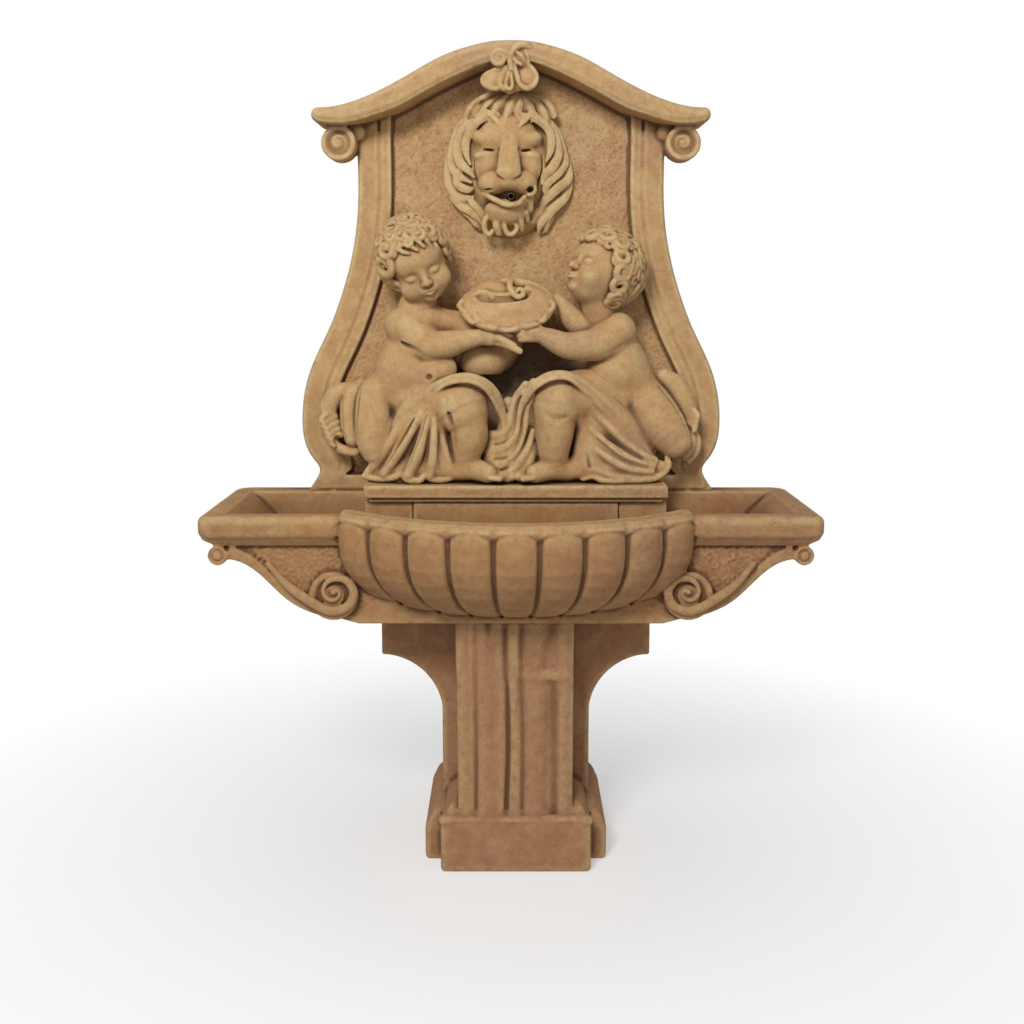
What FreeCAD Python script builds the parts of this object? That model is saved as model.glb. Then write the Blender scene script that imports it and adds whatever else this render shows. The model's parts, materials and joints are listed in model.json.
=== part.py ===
import FreeCAD, Part
import math
import os

Vec = FreeCAD.Vector
os.makedirs("parts", exist_ok=True)

# Overall sizes, in millimetres: the floor is at zero, the wall is behind at +Y
overall_width = 1219.2
overall_height = 1676.4
overall_depth = 508.0
wall_y = overall_depth / 2
front_y = -overall_depth / 2

# The bowl, riser and pedestal stand this far right of the wings and panel
axis_x = 10.0

# Clearances and small gaps
seat_gap = 0.3
running_gap = 0.05
slide_gap = 1.5
cut_over = 5.0

# Basin levels
basin_base_z = 522.0
wing_rim_z = 741.0
bowl_rim_z = 749.0
basin_floor = 35.0
floor_z = basin_base_z + basin_floor

# Bowl: a circular front of convex flutes
bowl_radius = 488.0
bowl_half_angle = 45.0
flute_count = 9
flute_bulge = 14.0
bowl_wall = 42.0
bowl_curve_z = 690.0
bowl_flat_radius = 210.0
bowl_lip = 10.0
bowl_sections = 9

# Wings and their scroll brackets
wing_front_y = -106.0
wing_rim_height = 46.0
wing_rim_proud = 18.0
wing_rim_round = 15.0
wing_corner_front = 26.0
wing_corner_back = 40.0
wing_wall = 42.0
wing_undercut = 14.0
trough_ramp = 50.0
bracket_reveal = 9.0
bracket_band = 24.0
bracket_set_in = 34.0
bracket_end_in = 18.0
small_scroll_radius = 19.0
small_scroll_in = 37.6
small_scroll_up = 139.5
large_scroll_radius = 48.0
large_scroll_x = 347.0
large_scroll_up = 60.0
scroll_proud = 8.0
scroll_deep = 40.0
inner_scroll_radius = 24.0
inner_scroll_x = 292.0
inner_scroll_y = -60.0

# Back panel
panel_thickness = 65.0
panel_foot_half = 440.0
frame_band = 43.0
frame_step = 5.0
groove_width = 6.0
groove_depth = 9.0
inner_band = 28.0
field_depth = 20.0
field_beyond_riser = 8.0
volute_radius = 36.0
volute_x = 356.0
volute_below_crown = 201.0
volute_front = 104.0
volute_back = 40.0
cornice_projection = 140.0
cornice_round = 20.0

# Riser, ledge and removable cover
riser_front_y = 70.0
riser_half = 313.0
pier_width = 99.0
ledge_thickness = 35.0
ledge_overhang = 22.0
ledge_moulding = 9.0
cover_thickness = 30.0
cover_arch_radius = 16.0
cover_arch_x = 120.0
cover_pad_in = 32.5
cover_pad_half = 12.0

# Pedestal
foot_half = 153.0
foot_front_y = -74.0
foot_block_z = 104.0
foot_top_z = 142.0
foot_top_half = 120.0
side_half = 188.0
side_front_y = -18.0
side_block_z = 72.0
side_top_z = 108.0
side_top_half = 159.0
shaft_half = 156.0
shaft_front_y = 78.0
flare_start_z = 296.0
head_half = 283.0
head_bottom_z = 409.0
flare_half = 270.0
flare_hollow = 0.33
pilaster_half = 115.0
pilaster_front_y = -62.0
pilaster_taper = 4.0
channel_width = 60.0
channel_depth = 40.0
channel_x = 110.0
pad_thickness = 3.0
pad_radius = 22.0

# Dowels
dowel_radius = 6.0
dowel_length = 60.0
base_dowel_up = 27.0
panel_dowel_x = 390.0
base_dowel_x = 225.0

# Lion mask
lion_half_width = 133.0
lion_half_height = 150.0
lion_below_crown = 248.0
lion_relief = 72.0
mouth_below_crown = 312.0

# Figures and shell dish
head_radius = 78.0
dish_radius_x = 98.0
dish_radius_y = 74.0
dish_height = 52.0
dish_wall = 14.0
dish_x = -8.0
dish_out = 97.0
dish_rim_above_ledge = 387.0

# Water line
hose_radius = 8.0
hose_bore = 6.35
hose_bend = 50.0
hose_run = 8.0
hose_back_run = 1.0
barb_length = 18.0
adapter_collar = 4.0
adapter_bore = 4.5
hose_end_gap = 4.0
groove_half = 15.0
groove_y = wall_y - 13.0
groove_deep = 26.0
groove_skin = 14.0
tube_radius = 6.35
tube_wall = 1.0
tube_bend = 28.0
spout_reach = 97.0
bushing_radius = 11.0
bushing_length = 8.0
clamp_width = 8.0
clamp_thickness = 1.2

# Pump
pump_length = 98.0
pump_depth = 64.0
pump_height = 52.0
foot_pad_height = 6.0
outlet_radius = 6.5
outlet_wall = 3.5
outlet_height = 4.0
volute_chamber_radius = 18.0
volute_chamber_length = 20.0
cover_plate = 4.0
cover_lap = 4.5
rotor_radius = 9.0
rotor_length = 36.0
vane_radius = 15.0
vane_count = 6
shaft_radius = 1.5
shaft_seat = 8.0
gland_radius = 6.0
gland_depth = 12.0
cord_radius = 3.2
dial_radius = 12.0
screen_length = 18.0
screen_wall = 3.0
screen_slots = 7
slot_pitch = 7.2
slot_width = 3.2
body_round = 9.0
rib_count = 5
rib_pitch = 11.0
rib_width = 4.0
rib_proud = 1.5
foot_in = 14.0
valve_radius = 14.0
valve_height = 35.0
valve_ball_radius = 9.0
valve_bore = 6.0
valve_ball_bore = 5.5
valve_stem_radius = 3.0
valve_neck_radius = 6.5
valve_neck = 7.0
valve_collar = 7.0
lever_length = 42.0

# Drain
drain_x = -245.0
drain_y = 0.0
drain_radius = 17.0
drain_flange_radius = 27.0
drain_bore = 12.0
gasket_thickness = 2.0
flange_thickness = 3.0
stopper_taper = 2.0
stopper_height = 14.0
nut_reach = 26.0
nut_height = 9.0
pull_ring_radius = 8.0

# Cord grommet
grommet_radius = 13.0
grommet_bore = 5.0
grommet_flange = 18.0
grommet_z = 655.0

# Wall hangers
hanger_x = 200.0
hanger_below_crown = 260.0
hanger_width = 44.0
hanger_height = 90.0
hanger_thickness = 3.0
hanger_hole = 4.5
hanger_recess = 14.0
screw_radius = 2.5
screw_head_radius = 4.5
screw_sink = 2.0
screw_length = 30.0
screw_up = 30.0


# Basic solids and outlines

def box(x0, x1, y0, y1, z0, z1):
    return Part.makeBox(x1 - x0, y1 - y0, z1 - z0, Vec(x0, y0, z0))


def rod(radius, start, end):
    axis = end.sub(start)
    return Part.makeCylinder(radius, axis.Length, start, axis)


def rod_x(radius, x0, x1, y, z):
    return rod(radius, Vec(x0, y, z), Vec(x1, y, z))


def rod_y(radius, x, y0, y1, z):
    return rod(radius, Vec(x, y0, z), Vec(x, y1, z))


def rod_z(radius, x, y, z0, z1):
    return rod(radius, Vec(x, y, z0), Vec(x, y, z1))


def tube_z(outer, inner, x, y, z0, z1):
    return rod_z(outer, x, y, z0, z1).cut(rod_z(inner, x, y, z0 - cut_over, z1 + cut_over))


def fuse(first, *others):
    return first.fuse(list(others)).removeSplitter()


def mirrored(shape):
    return shape.mirror(Vec(0, 0, 0), Vec(1, 0, 0))


def on_axis(shape):
    shape.translate(Vec(axis_x, 0, 0))
    return shape


def curve(points):
    spline = Part.BSplineCurve()
    spline.interpolate(points)
    return spline.toShape()


def line(a, b):
    return Part.makeLine(a, b)


def prism(edges, direction):
    return Part.Face(Part.Wire(edges)).extrude(direction)


def polygon_edges(points):
    closed = points + [points[0]]
    return [line(a, b) for a, b in zip(closed, closed[1:])]


def ellipsoid(centre, rx, ry, rz, turn=0.0):
    ball = Part.makeSphere(1.0)
    scale = FreeCAD.Matrix()
    scale.scale(rx, ry, rz)
    shape = ball.transformGeometry(scale)
    shape.rotate(Vec(0, 0, 0), Vec(0, 1, 0), turn)
    shape.translate(centre)
    return shape


def limb(start, end, r0, r1):
    axis = end.sub(start)
    shape = Part.makeSphere(r0, start)
    if abs(r0 - r1) < 0.01:
        shape = shape.fuse(Part.makeCylinder(r0, axis.Length, start, axis))
    else:
        shape = shape.fuse(Part.makeCone(r0, r1, axis.Length, start, axis))
    return shape.fuse(Part.makeSphere(r1, end))


def moulded_block(half, front, block_z, top_half, top_z, step):
    front_step = half - top_half
    reach = wall_y - front

    def side_edges():
        a = Vec(half, 0, block_z)
        b = Vec(half - step, 0, block_z + step)
        c = Vec(top_half, 0, top_z)
        bend = Vec((b.x + c.x) / 2 + step * 0.6, 0, (b.z + c.z) / 2 + step * 0.6)
        right = [line(Vec(half, 0, 0), a), line(a, b), Part.Arc(b, bend, c).toShape()]
        left_c = Vec(-c.x, 0, c.z)
        left_b = Vec(-b.x, 0, b.z)
        left_a = Vec(-a.x, 0, a.z)
        left_bend = Vec(-bend.x, 0, bend.z)
        left = [Part.Arc(left_c, left_bend, left_b).toShape(), line(left_b, left_a)]
        left.append(line(left_a, Vec(-half, 0, 0)))
        return right + [line(c, left_c)] + left + [line(Vec(-half, 0, 0), Vec(half, 0, 0))]

    def front_edges():
        a = Vec(0, front, block_z)
        b = Vec(0, front + step, block_z + step)
        c = Vec(0, front + front_step, top_z)
        bend = Vec(0, (b.y + c.y) / 2 - step * 0.6, (b.z + c.z) / 2 + step * 0.6)
        edges = [line(Vec(0, front, 0), a), line(a, b), Part.Arc(b, bend, c).toShape()]
        edges.append(line(c, Vec(0, wall_y, top_z)))
        edges.append(line(Vec(0, wall_y, top_z), Vec(0, wall_y, 0)))
        return edges + [line(Vec(0, wall_y, 0), Vec(0, front, 0))]

    across = prism(side_edges(), Vec(0, reach, 0))
    across.translate(Vec(0, front, 0))
    along = prism(front_edges(), Vec(2 * half, 0, 0))
    along.translate(Vec(-half, 0, 0))
    return across.common(along)


# Pedestal: foot blocks, shaft with flared head, and a folded pilaster

def flared_slab():
    rise = head_bottom_z - flare_start_z
    run = flare_half - shaft_half
    top = basin_base_z - pad_thickness

    def flare(sign):
        start = Vec(sign * shaft_half, 0, flare_start_z)
        bend = Vec(sign * (shaft_half + run * flare_hollow), 0, flare_start_z + rise * (1.0 - flare_hollow))
        end = Vec(sign * flare_half, 0, head_bottom_z)
        return start, bend, end

    r0, r1, r2 = flare(1)
    l0, l1, l2 = flare(-1)
    edges = [line(Vec(shaft_half, 0, 0), r0), Part.Arc(r0, r1, r2).toShape()]
    edges.append(line(r2, Vec(head_half, 0, head_bottom_z)))
    edges.append(line(Vec(head_half, 0, head_bottom_z), Vec(head_half, 0, top)))
    edges.append(line(Vec(head_half, 0, top), Vec(-head_half, 0, top)))
    edges.append(line(Vec(-head_half, 0, top), Vec(-head_half, 0, head_bottom_z)))
    edges.append(line(Vec(-head_half, 0, head_bottom_z), l2))
    edges += [Part.Arc(l2, l1, l0).toShape(), line(l0, Vec(-shaft_half, 0, 0))]
    edges.append(line(Vec(-shaft_half, 0, 0), Vec(shaft_half, 0, 0)))
    slab = prism(edges, Vec(0, wall_y - shaft_front_y, 0))
    slab.translate(Vec(0, shaft_front_y, 0))
    return slab


# Folds of the pilaster: share of its width where each starts and ends, and how far it stands out
pilaster_folds = [(0.0, 0.13, 10.0), (0.155, 0.40, 16.0), (0.42, 0.545, 12.0), (0.565, 0.785, 18.0),
                  (0.89, 1.0, 9.0)]
fold_valley = 16.0


def pilaster():
    top = basin_base_z - pad_thickness

    def plan(half, front, z):
        valley = front + fold_valley
        edges = [line(Vec(-half, wall_y - channel_depth, z), Vec(-half, valley, z))]
        last = Vec(-half, valley, z)
        for start, end, stand in pilaster_folds:
            a = Vec(-half + 2 * half * start, valley, z)
            b = Vec(-half + 2 * half * end, valley, z)
            middle = Vec((a.x + b.x) / 2, valley - stand, z)
            if a.sub(last).Length > 0.01:
                edges.append(line(last, a))
            edges.append(Part.Arc(a, middle, b).toShape())
            last = b
        edges.append(line(last, Vec(half, wall_y - channel_depth, z)))
        edges.append(line(Vec(half, wall_y - channel_depth, z), Vec(-half, wall_y - channel_depth, z)))
        return Part.Wire(edges)

    low = plan(pilaster_half - pilaster_taper, pilaster_front_y + pilaster_taper, foot_top_z - cut_over)
    high = plan(pilaster_half, pilaster_front_y, top)
    return Part.makeLoft([low, high], True, True)


def cord_channel(z0, z1):
    half = channel_width / 2
    return box(channel_x - half, channel_x + half, wall_y - channel_depth, wall_y + cut_over, z0, z1)


def base_dowel(x):
    z = basin_base_z
    return rod_z(dowel_radius, x, base_dowel_y(), z - dowel_length / 2, z + base_dowel_up)


def base_dowel_y():
    return (shaft_front_y + wall_y) / 2


def make_pedestal():
    foot = moulded_block(foot_half, foot_front_y, foot_block_z, foot_top_half, foot_top_z, 7.0)
    sides = moulded_block(side_half, side_front_y, side_block_z, side_top_half, side_top_z, 6.0)
    shape = fuse(foot, sides, flared_slab(), pilaster())
    shape = shape.cut(cord_channel(-cut_over, basin_base_z + cut_over))
    for sign in (-1, 1):
        hole = rod_z(dowel_radius + seat_gap, sign * base_dowel_x, base_dowel_y(),
                     basin_base_z - dowel_length / 2 - seat_gap, basin_base_z)
        shape = shape.cut(hole)
    return on_axis(shape)


# Basin: fluted bowl, side wings on scroll brackets, one open hollow

bowl_centre_y = front_y + bowl_radius + flute_bulge


def bowl_profile_radius(z, outer, bottom, flat):
    t = min(1.0, max(0.0, (bowl_curve_z - z) / (bowl_curve_z - bottom)))
    return flat + (outer - flat) * math.sqrt(1.0 - t * t)


def bowl_wire(radius, z, lobes, bulge, back_y):
    half = math.radians(bowl_half_angle)

    def at(angle, r):
        return Vec(axis_x + r * math.sin(angle), bowl_centre_y - r * math.cos(angle), z)

    edges = []
    step = 2 * half / lobes
    for i in range(lobes):
        a = -half + i * step
        arc = Part.Arc(at(a, radius), at(a + step / 2, radius + bulge), at(a + step, radius))
        edges.append(arc.toShape())
    left = at(-half, radius)
    right = at(half, radius)
    edges.append(line(right, Vec(right.x, back_y, z)))
    edges.append(line(Vec(right.x, back_y, z), Vec(left.x, back_y, z)))
    edges.append(line(Vec(left.x, back_y, z), left))
    return Part.Wire(edges)


def section_levels(bottom, count):
    return [bowl_curve_z - (bowl_curve_z - bottom) * math.sin(math.pi / 2 * i / count) for i in range(count)]


def bowl_outside():
    wires = [bowl_wire(bowl_radius - bowl_lip, bowl_rim_z, flute_count, flute_bulge * 0.4, wall_y)]
    wires.append(bowl_wire(bowl_radius, bowl_rim_z - bowl_lip, flute_count, flute_bulge * 0.9, wall_y))
    for z in section_levels(basin_base_z, bowl_sections):
        radius = bowl_profile_radius(z, bowl_radius, basin_base_z, bowl_flat_radius)
        wires.append(bowl_wire(radius, z, flute_count, flute_bulge * radius / bowl_radius, wall_y))
    radius = bowl_flat_radius
    wires.append(bowl_wire(radius, basin_base_z, flute_count, flute_bulge * radius / bowl_radius, wall_y))
    return Part.makeLoft(wires, True, True)


def bowl_inside():
    outer = bowl_radius - bowl_wall
    flat = bowl_flat_radius
    back = wall_y - panel_thickness
    wires = [bowl_wire(outer, bowl_rim_z + cut_over, 1, 0.0, back)]
    for z in section_levels(floor_z, bowl_sections):
        wires.append(bowl_wire(bowl_profile_radius(z, outer, floor_z, flat), z, 1, 0.0, back))
    wires.append(bowl_wire(flat, floor_z, 1, 0.0, back))
    return Part.makeLoft(wires, True, True)


# Underside of a wing: a long S from the small outer scroll down to the large inner one
# as (share of the way from the large scroll to the wing's end, height above the basin's base)
bracket_stations = [(1.0, 132.0), (0.77, 116.0), (0.59, 82.0), (0.405, 46.0), (0.22, 25.5), (0.0, 13.0)]


def bracket_curve(inset):
    start = large_scroll_x
    end = overall_width / 2 - bracket_set_in - bracket_end_in
    points = [Vec(start + (end - start) * share, 0, basin_base_z + up + inset)
              for share, up in bracket_stations]
    points[0].x -= inset * 0.4
    return points


def wing_profile(inset, top, outer_x):
    points = bracket_curve(inset)
    low = Vec(points[-1].x - large_scroll_radius, 0, basin_base_z)
    edges = [line(Vec(0, 0, top), Vec(outer_x, 0, top)), line(Vec(outer_x, 0, top), points[0])]
    edges += [curve(points), line(points[-1], low), line(low, Vec(0, 0, low.z))]
    return edges + [line(Vec(0, 0, low.z), Vec(0, 0, top))]


def scroll(x, z, radius, y0, y1):
    disc = rod_y(radius, x, y0, y1, z)
    ring = rod_y(radius * 0.74, x, y0 - cut_over, y0 + 5.0, z)
    eye = rod_y(radius * 0.45, x, y0 - 1.0, y0 + 6.0, z)
    return disc.cut(ring).fuse(eye)


def wing_rim():
    half = overall_width / 2
    low = wing_rim_z - wing_rim_height
    slab = box(-half, half, wing_front_y, wall_y, low, wing_rim_z)
    uprights = [e for e in slab.Edges if abs(e.Vertexes[0].Z - e.Vertexes[1].Z) > 1.0]
    front = [e for e in uprights if e.Vertexes[0].Y < 0]
    slab = slab.makeFillet(wing_corner_front, front)
    uprights = [e for e in slab.Edges if abs(e.BoundBox.ZLength - wing_rim_height) < 0.1]
    back = [e for e in uprights if e.BoundBox.YMin > wall_y - 0.1]
    slab = slab.makeFillet(wing_corner_back, back)
    rim = [e for e in slab.Edges if e.BoundBox.ZLength < 0.1 and e.BoundBox.YMin < wall_y - 0.1]
    return slab.makeFillet(wing_rim_round, rim)


def wing_body(sign):
    outer_x = overall_width / 2 - bracket_set_in
    front = wing_front_y + wing_rim_proud
    deep = wall_y - front - bracket_reveal
    core = prism(wing_profile(0.0, wing_rim_z - wing_rim_height / 2, outer_x), Vec(0, deep, 0))
    core.translate(Vec(0, front + bracket_reveal, 0))
    band_points = bracket_curve(0.0)
    inner_points = bracket_curve(bracket_band)
    edges = [curve(band_points), line(band_points[-1], inner_points[-1])]
    edges += [curve(list(reversed(inner_points))), line(inner_points[0], band_points[0])]
    band = prism(edges, Vec(0, bracket_reveal + 10.0, 0))
    band.translate(Vec(0, front, 0))
    small = scroll(overall_width / 2 - small_scroll_in, basin_base_z + small_scroll_up, small_scroll_radius,
                   front - scroll_proud / 2, wall_y)
    large = scroll(large_scroll_x, basin_base_z + large_scroll_up, large_scroll_radius, front - scroll_proud,
                   front + scroll_deep)
    shape = core.fuse([band, small, large, wing_cove(outer_x, front)])
    return shape if sign > 0 else mirrored(shape)


# Sloping underside that carries the rim out over the body
def wing_cove(outer_x, front):
    rim_low = wing_rim_z - wing_rim_height
    edge = overall_width / 2 - wing_rim_round / 2

    def level(x, y, z):
        corners = [Vec(0, y, z), Vec(x, y, z), Vec(x, wall_y, z), Vec(0, wall_y, z)]
        return Part.Wire(polygon_edges(corners))

    low = level(outer_x, front, rim_low - wing_undercut)
    high = level(edge, wing_front_y + wing_rim_round / 2, rim_low + 1.0)
    return Part.makeLoft([low, high], True, True)


def wing_hollow(sign):
    outer_x = overall_width / 2 - wing_wall
    top = bowl_rim_z + cut_over
    points = bracket_curve(wing_wall)
    start = Vec(outer_x, 0, wing_rim_z + cut_over)
    edges = [line(Vec(0, 0, top), Vec(outer_x, 0, top)), line(Vec(outer_x, 0, top), start)]
    shelf = Vec(outer_x - trough_ramp, 0, start.z - trough_ramp)
    edges.append(line(start, shelf))
    floor_points = [shelf] + points[1:-1]
    low = Vec(riser_half + axis_x + slide_gap * 2, 0, floor_z)
    edges += [curve(floor_points), line(floor_points[-1], low)]
    edges += [line(low, Vec(0, 0, floor_z)), line(Vec(0, 0, floor_z), Vec(0, 0, top))]
    front = wing_front_y + wing_wall
    hollow = prism(edges, Vec(0, wall_y - panel_thickness - front, 0))
    hollow.translate(Vec(0, front, 0))
    return hollow if sign > 0 else mirrored(hollow)


def inner_scroll(sign):
    return rod_y(inner_scroll_radius, sign * inner_scroll_x, inner_scroll_y, wall_y,
                 basin_base_z + inner_scroll_radius)


def hose_slot():
    y0 = wall_y - panel_thickness - cut_over
    return box(-groove_half, groove_half, y0, wall_y + cut_over, hose_top_z() - hose_bend * 0.9,
               bowl_rim_z + cut_over)


def hose_top_z():
    return wing_rim_z - hose_radius - 3.0


def grommet_hole():
    y0 = wall_y - panel_thickness - cut_over
    return on_axis(rod_y(grommet_radius, channel_x, y0, wall_y + cut_over, grommet_z))


def make_basin():
    outside = bowl_outside()
    wings = [wing_body(1), wing_body(-1), inner_scroll(1), inner_scroll(-1), wing_rim()]
    shape = outside.fuse(wings)
    above = box(-overall_width, overall_width, wing_front_y + 60.0, wall_y + cut_over, wing_rim_z,
                bowl_rim_z + cut_over)
    shape = shape.cut(above)
    below = box(-overall_width, overall_width, front_y - cut_over, wall_y + cut_over, basin_base_z - 60.0,
                basin_base_z)
    shape = shape.cut(below)
    behind = box(-overall_width, overall_width, wall_y, wall_y + 60.0, 0, overall_height)
    shape = shape.cut(behind)
    for hollow in (bowl_inside(), wing_hollow(1), wing_hollow(-1)):
        shape = shape.cut(hollow)
    shape = shape.cut(hose_slot())
    shape = shape.cut(grommet_hole())
    shape = shape.cut(on_axis(cord_channel(basin_base_z - cut_over, grommet_z + grommet_flange + 4.0)))
    shape = shape.cut(rod_z(drain_radius, drain_x, drain_y, basin_base_z - cut_over, floor_z + cut_over))
    for sign in (-1, 1):
        top = basin_base_z + base_dowel_up + seat_gap
        shape = shape.cut(rod_z(dowel_radius + seat_gap, axis_x + sign * base_dowel_x, base_dowel_y(),
                                basin_base_z - cut_over, top))
        low = wing_rim_z - dowel_length / 2 - seat_gap
        shape = shape.cut(rod_z(dowel_radius + seat_gap, sign * panel_dowel_x, panel_dowel_y(), low,
                                wing_rim_z + cut_over))
    return shape.removeSplitter()


# Back panel: bell-shaped slab, moulded frame, sunk field, cornice and corner volutes

def panel_dowel_y():
    return wall_y - panel_thickness / 2


# Half width of the panel above the basin rim, from its foot to its neck: (height, half width)
panel_low = [(0.0, 440.0), (24.0, 424.0), (47.0, 415.0), (72.0, 430.0), (110.0, 447.0), (152.0, 451.0),
             (208.0, 446.0), (258.0, 433.0), (310.0, 410.0), (361.0, 385.0), (412.0, 365.0)]
# The same above that, as depth below the crown
panel_high = [(422.0, 336.0), (359.0, 326.0), (296.0, 322.0), (235.0, 322.0), (150.0, 322.0)]
# Upper and lower edges of the cornice: (half width, depth below the crown)
cornice_top = [(0.0, 0.0), (40.0, 2.0), (72.0, 8.4), (100.0, 16.0), (143.0, 32.0), (199.0, 62.0),
               (256.0, 92.7), (307.0, 115.0), (353.0, 128.5), (398.0, 132.5)]
cornice_low = [(392.0, 162.5), (364.0, 166.0), (331.0, 165.0), (285.0, 152.5), (234.0, 135.0),
               (186.0, 109.5), (143.0, 87.0), (101.0, 67.0), (49.0, 47.0), (0.0, 40.0)]


def panel_points(inset):
    stations = [(x, wing_rim_z + up) for up, x in panel_low]
    stations += [(x, overall_height - down) for down, x in panel_high]
    spline = Part.BSplineCurve()
    spline.interpolate([Vec(x, 0, z) for x, z in stations])
    points = []
    for x, z in stations:
        at = spline.parameter(Vec(x, 0, z))
        tangent = spline.tangent(at)[0]
        points.append(Vec(x - tangent.z * inset, 0, z + tangent.x * inset))
    return points


def panel_outline(inset, bottom_z, top_z):
    right = [p for p in panel_points(inset) if bottom_z + 4.0 < p.z < top_z - 4.0]
    low = Vec(right[0].x + (inset * 0.3 if inset else panel_foot_half - panel_low[1][1]), 0, bottom_z)
    high = Vec(right[-1].x, 0, top_z)
    right = [low] + right + [high]
    left = [Vec(-p.x, 0, p.z) for p in reversed(right)]
    return [curve(right), line(right[-1], left[0]), curve(left), line(left[-1], right[0])]


def panel_slab(inset, bottom_z, top_z, y0, y1):
    slab = prism(panel_outline(inset, bottom_z, top_z), Vec(0, y1 - y0, 0))
    slab.translate(Vec(0, y0, 0))
    return slab


def crown_points(pairs, drop):
    return [Vec(x, 0, overall_height - down - drop) for x, down in pairs]


def cornice_wire(inset, y):
    top = crown_points(cornice_top, inset)
    top = [Vec(-p.x, 0, p.z) for p in reversed(top[1:])] + top
    low = crown_points(cornice_low, -inset)
    low = low + [Vec(-p.x, 0, p.z) for p in reversed(low[:-1])]
    tip_right = Vec(overall_tip() - inset, 0, (top[-1].z + low[0].z) / 2)
    tip_left = Vec(-tip_right.x, 0, tip_right.z)
    edges = [curve(top), Part.Arc(top[-1], tip_right, low[0]).toShape(), curve(low)]
    edges.append(Part.Arc(low[-1], tip_left, top[0]).toShape())
    wire = Part.Wire(edges)
    wire.translate(Vec(0, y, 0))
    return wire


def overall_tip():
    return cornice_top[-1][0] + 10.0


def cornice(clear=0.0):
    front = wall_y - cornice_projection - clear
    inner = cornice_round * 0.3
    wires = [cornice_wire(-clear, wall_y), cornice_wire(-clear, front + cornice_round)]
    wires += [cornice_wire(inner * 0.6 - clear, front + inner)]
    wires += [cornice_wire(cornice_round * 0.6 - clear, front)]
    return Part.makeLoft(wires, True, True)


# Slab that fills the space under the arch of the cornice
def gable():
    low = crown_points(cornice_low, -12.0)
    low = [p for p in low if p.x < panel_high[-1][1] - 2.0]
    top = low + [Vec(-p.x, 0, p.z) for p in reversed(low[:-1])]
    half = panel_high[-1][1]
    z = overall_height - panel_high[-1][0] - 60.0
    right_top = Vec(half, 0, top[0].z)
    left_top = Vec(-half, 0, top[0].z)
    edges = [line(right_top, top[0]), curve(top), line(top[-1], left_top), line(left_top, Vec(-half, 0, z))]
    return edges + [line(Vec(-half, 0, z), Vec(half, 0, z)), line(Vec(half, 0, z), right_top)]


def gable_slab(half_inset, y0, y1):
    slab = prism(gable(), Vec(0, y1 - y0, 0))
    slab.translate(Vec(0, y0, 0))
    if half_inset:
        half = panel_high[-1][1] - half_inset
        slab = slab.common(box(-half, half, y0, y1, 0, overall_height))
    return slab


def panel_layer(inset, bottom_z, y0, y1):
    joint_z = overall_height - panel_high[-1][0]
    lower = panel_slab(inset, bottom_z, joint_z, y0, y1)
    return lower.fuse(gable_slab(inset, y0, y1))


def volute(sign):
    z = overall_height - volute_below_crown
    shape = scroll(volute_x, z, volute_radius, wall_y - volute_front, wall_y - volute_back)
    return shape if sign > 0 else mirrored(shape)


def hanger_z():
    return overall_height - hanger_below_crown


def spout_z():
    return overall_height - mouth_below_crown


def make_back_panel():
    front = wall_y - panel_thickness
    field = front + field_depth
    far = wall_y
    ledge_top = wing_rim_z + ledge_thickness
    frame = panel_layer(0.0, wing_rim_z, front + frame_step, far)
    band = panel_layer(4.0, wing_rim_z + 6.0, front, front + frame_step + 1.0)
    shape = frame.fuse(band)
    groove = panel_layer(frame_band, ledge_top, front - cut_over, front + groove_depth)
    keep = panel_layer(frame_band + groove_width, ledge_top, front - 2 * cut_over, front + 2 * groove_depth)
    shape = shape.cut(groove.cut(keep))
    sunk = panel_layer(frame_band + inner_band, ledge_top, front - cut_over, field)
    shape = shape.cut(sunk)
    half = riser_half + field_beyond_riser
    bottom = box(-half, half, front - cut_over, field, ledge_top - 1.0, ledge_top + 40.0)
    shape = shape.cut(bottom)
    shape = shape.fuse([cornice(), volute(1), volute(-1)])
    groove_top = spout_z() + 26.0
    shape = shape.cut(box(-groove_half, groove_half, wall_y - groove_deep, far + cut_over,
                          wing_rim_z - cut_over, groove_top))
    shape = shape.cut(box(-groove_half, groove_half, field - cut_over, far + cut_over,
                          spout_z() - tube_bend - 14.0, groove_top))
    shape = shape.cut(box(-groove_half, groove_half, front + groove_skin, far + cut_over,
                          wing_rim_z - cut_over, hose_top_z() + hose_bend * 0.7))
    for sign in (-1, 1):
        shape = shape.cut(rod_z(dowel_radius + seat_gap, sign * panel_dowel_x, panel_dowel_y(),
                                wing_rim_z - cut_over, wing_rim_z + dowel_length / 2 + seat_gap))
        shape = shape.cut(hanger_pocket(sign))
    return shape.removeSplitter()


def hanger_pocket(sign):
    x = sign * hanger_x
    half_w = hanger_width / 2 + seat_gap
    half_h = hanger_height / 2 + seat_gap
    z = hanger_z()
    seat = box(x - half_w, x + half_w, wall_y - hanger_thickness, wall_y + cut_over, z - half_h, z + half_h)
    head = box(x - 11.0, x + 11.0, wall_y - hanger_recess, wall_y, z - 12.0, z + 12.0)
    pilots = [rod_y(screw_radius, x, wall_y - screw_length, wall_y, z + up) for up in (-screw_up, screw_up)]
    return seat.fuse([head] + pilots)


# Wall hangers with their screws

def make_hanger_plates():
    plates = []
    for sign in (-1, 1):
        x = sign * hanger_x
        z = hanger_z()
        half_w = hanger_width / 2
        half_h = hanger_height / 2
        plate = box(x - half_w, x + half_w, wall_y - hanger_thickness, wall_y, z - half_h, z + half_h)
        plate = plate.cut(rod_y(hanger_hole, x, wall_y - 10.0, wall_y + cut_over, z))
        for up in (-screw_up, screw_up):
            plate = plate.cut(hanger_screw_space(x, z + up))
        plates.append(plate)
    return Part.makeCompound(plates)


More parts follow.
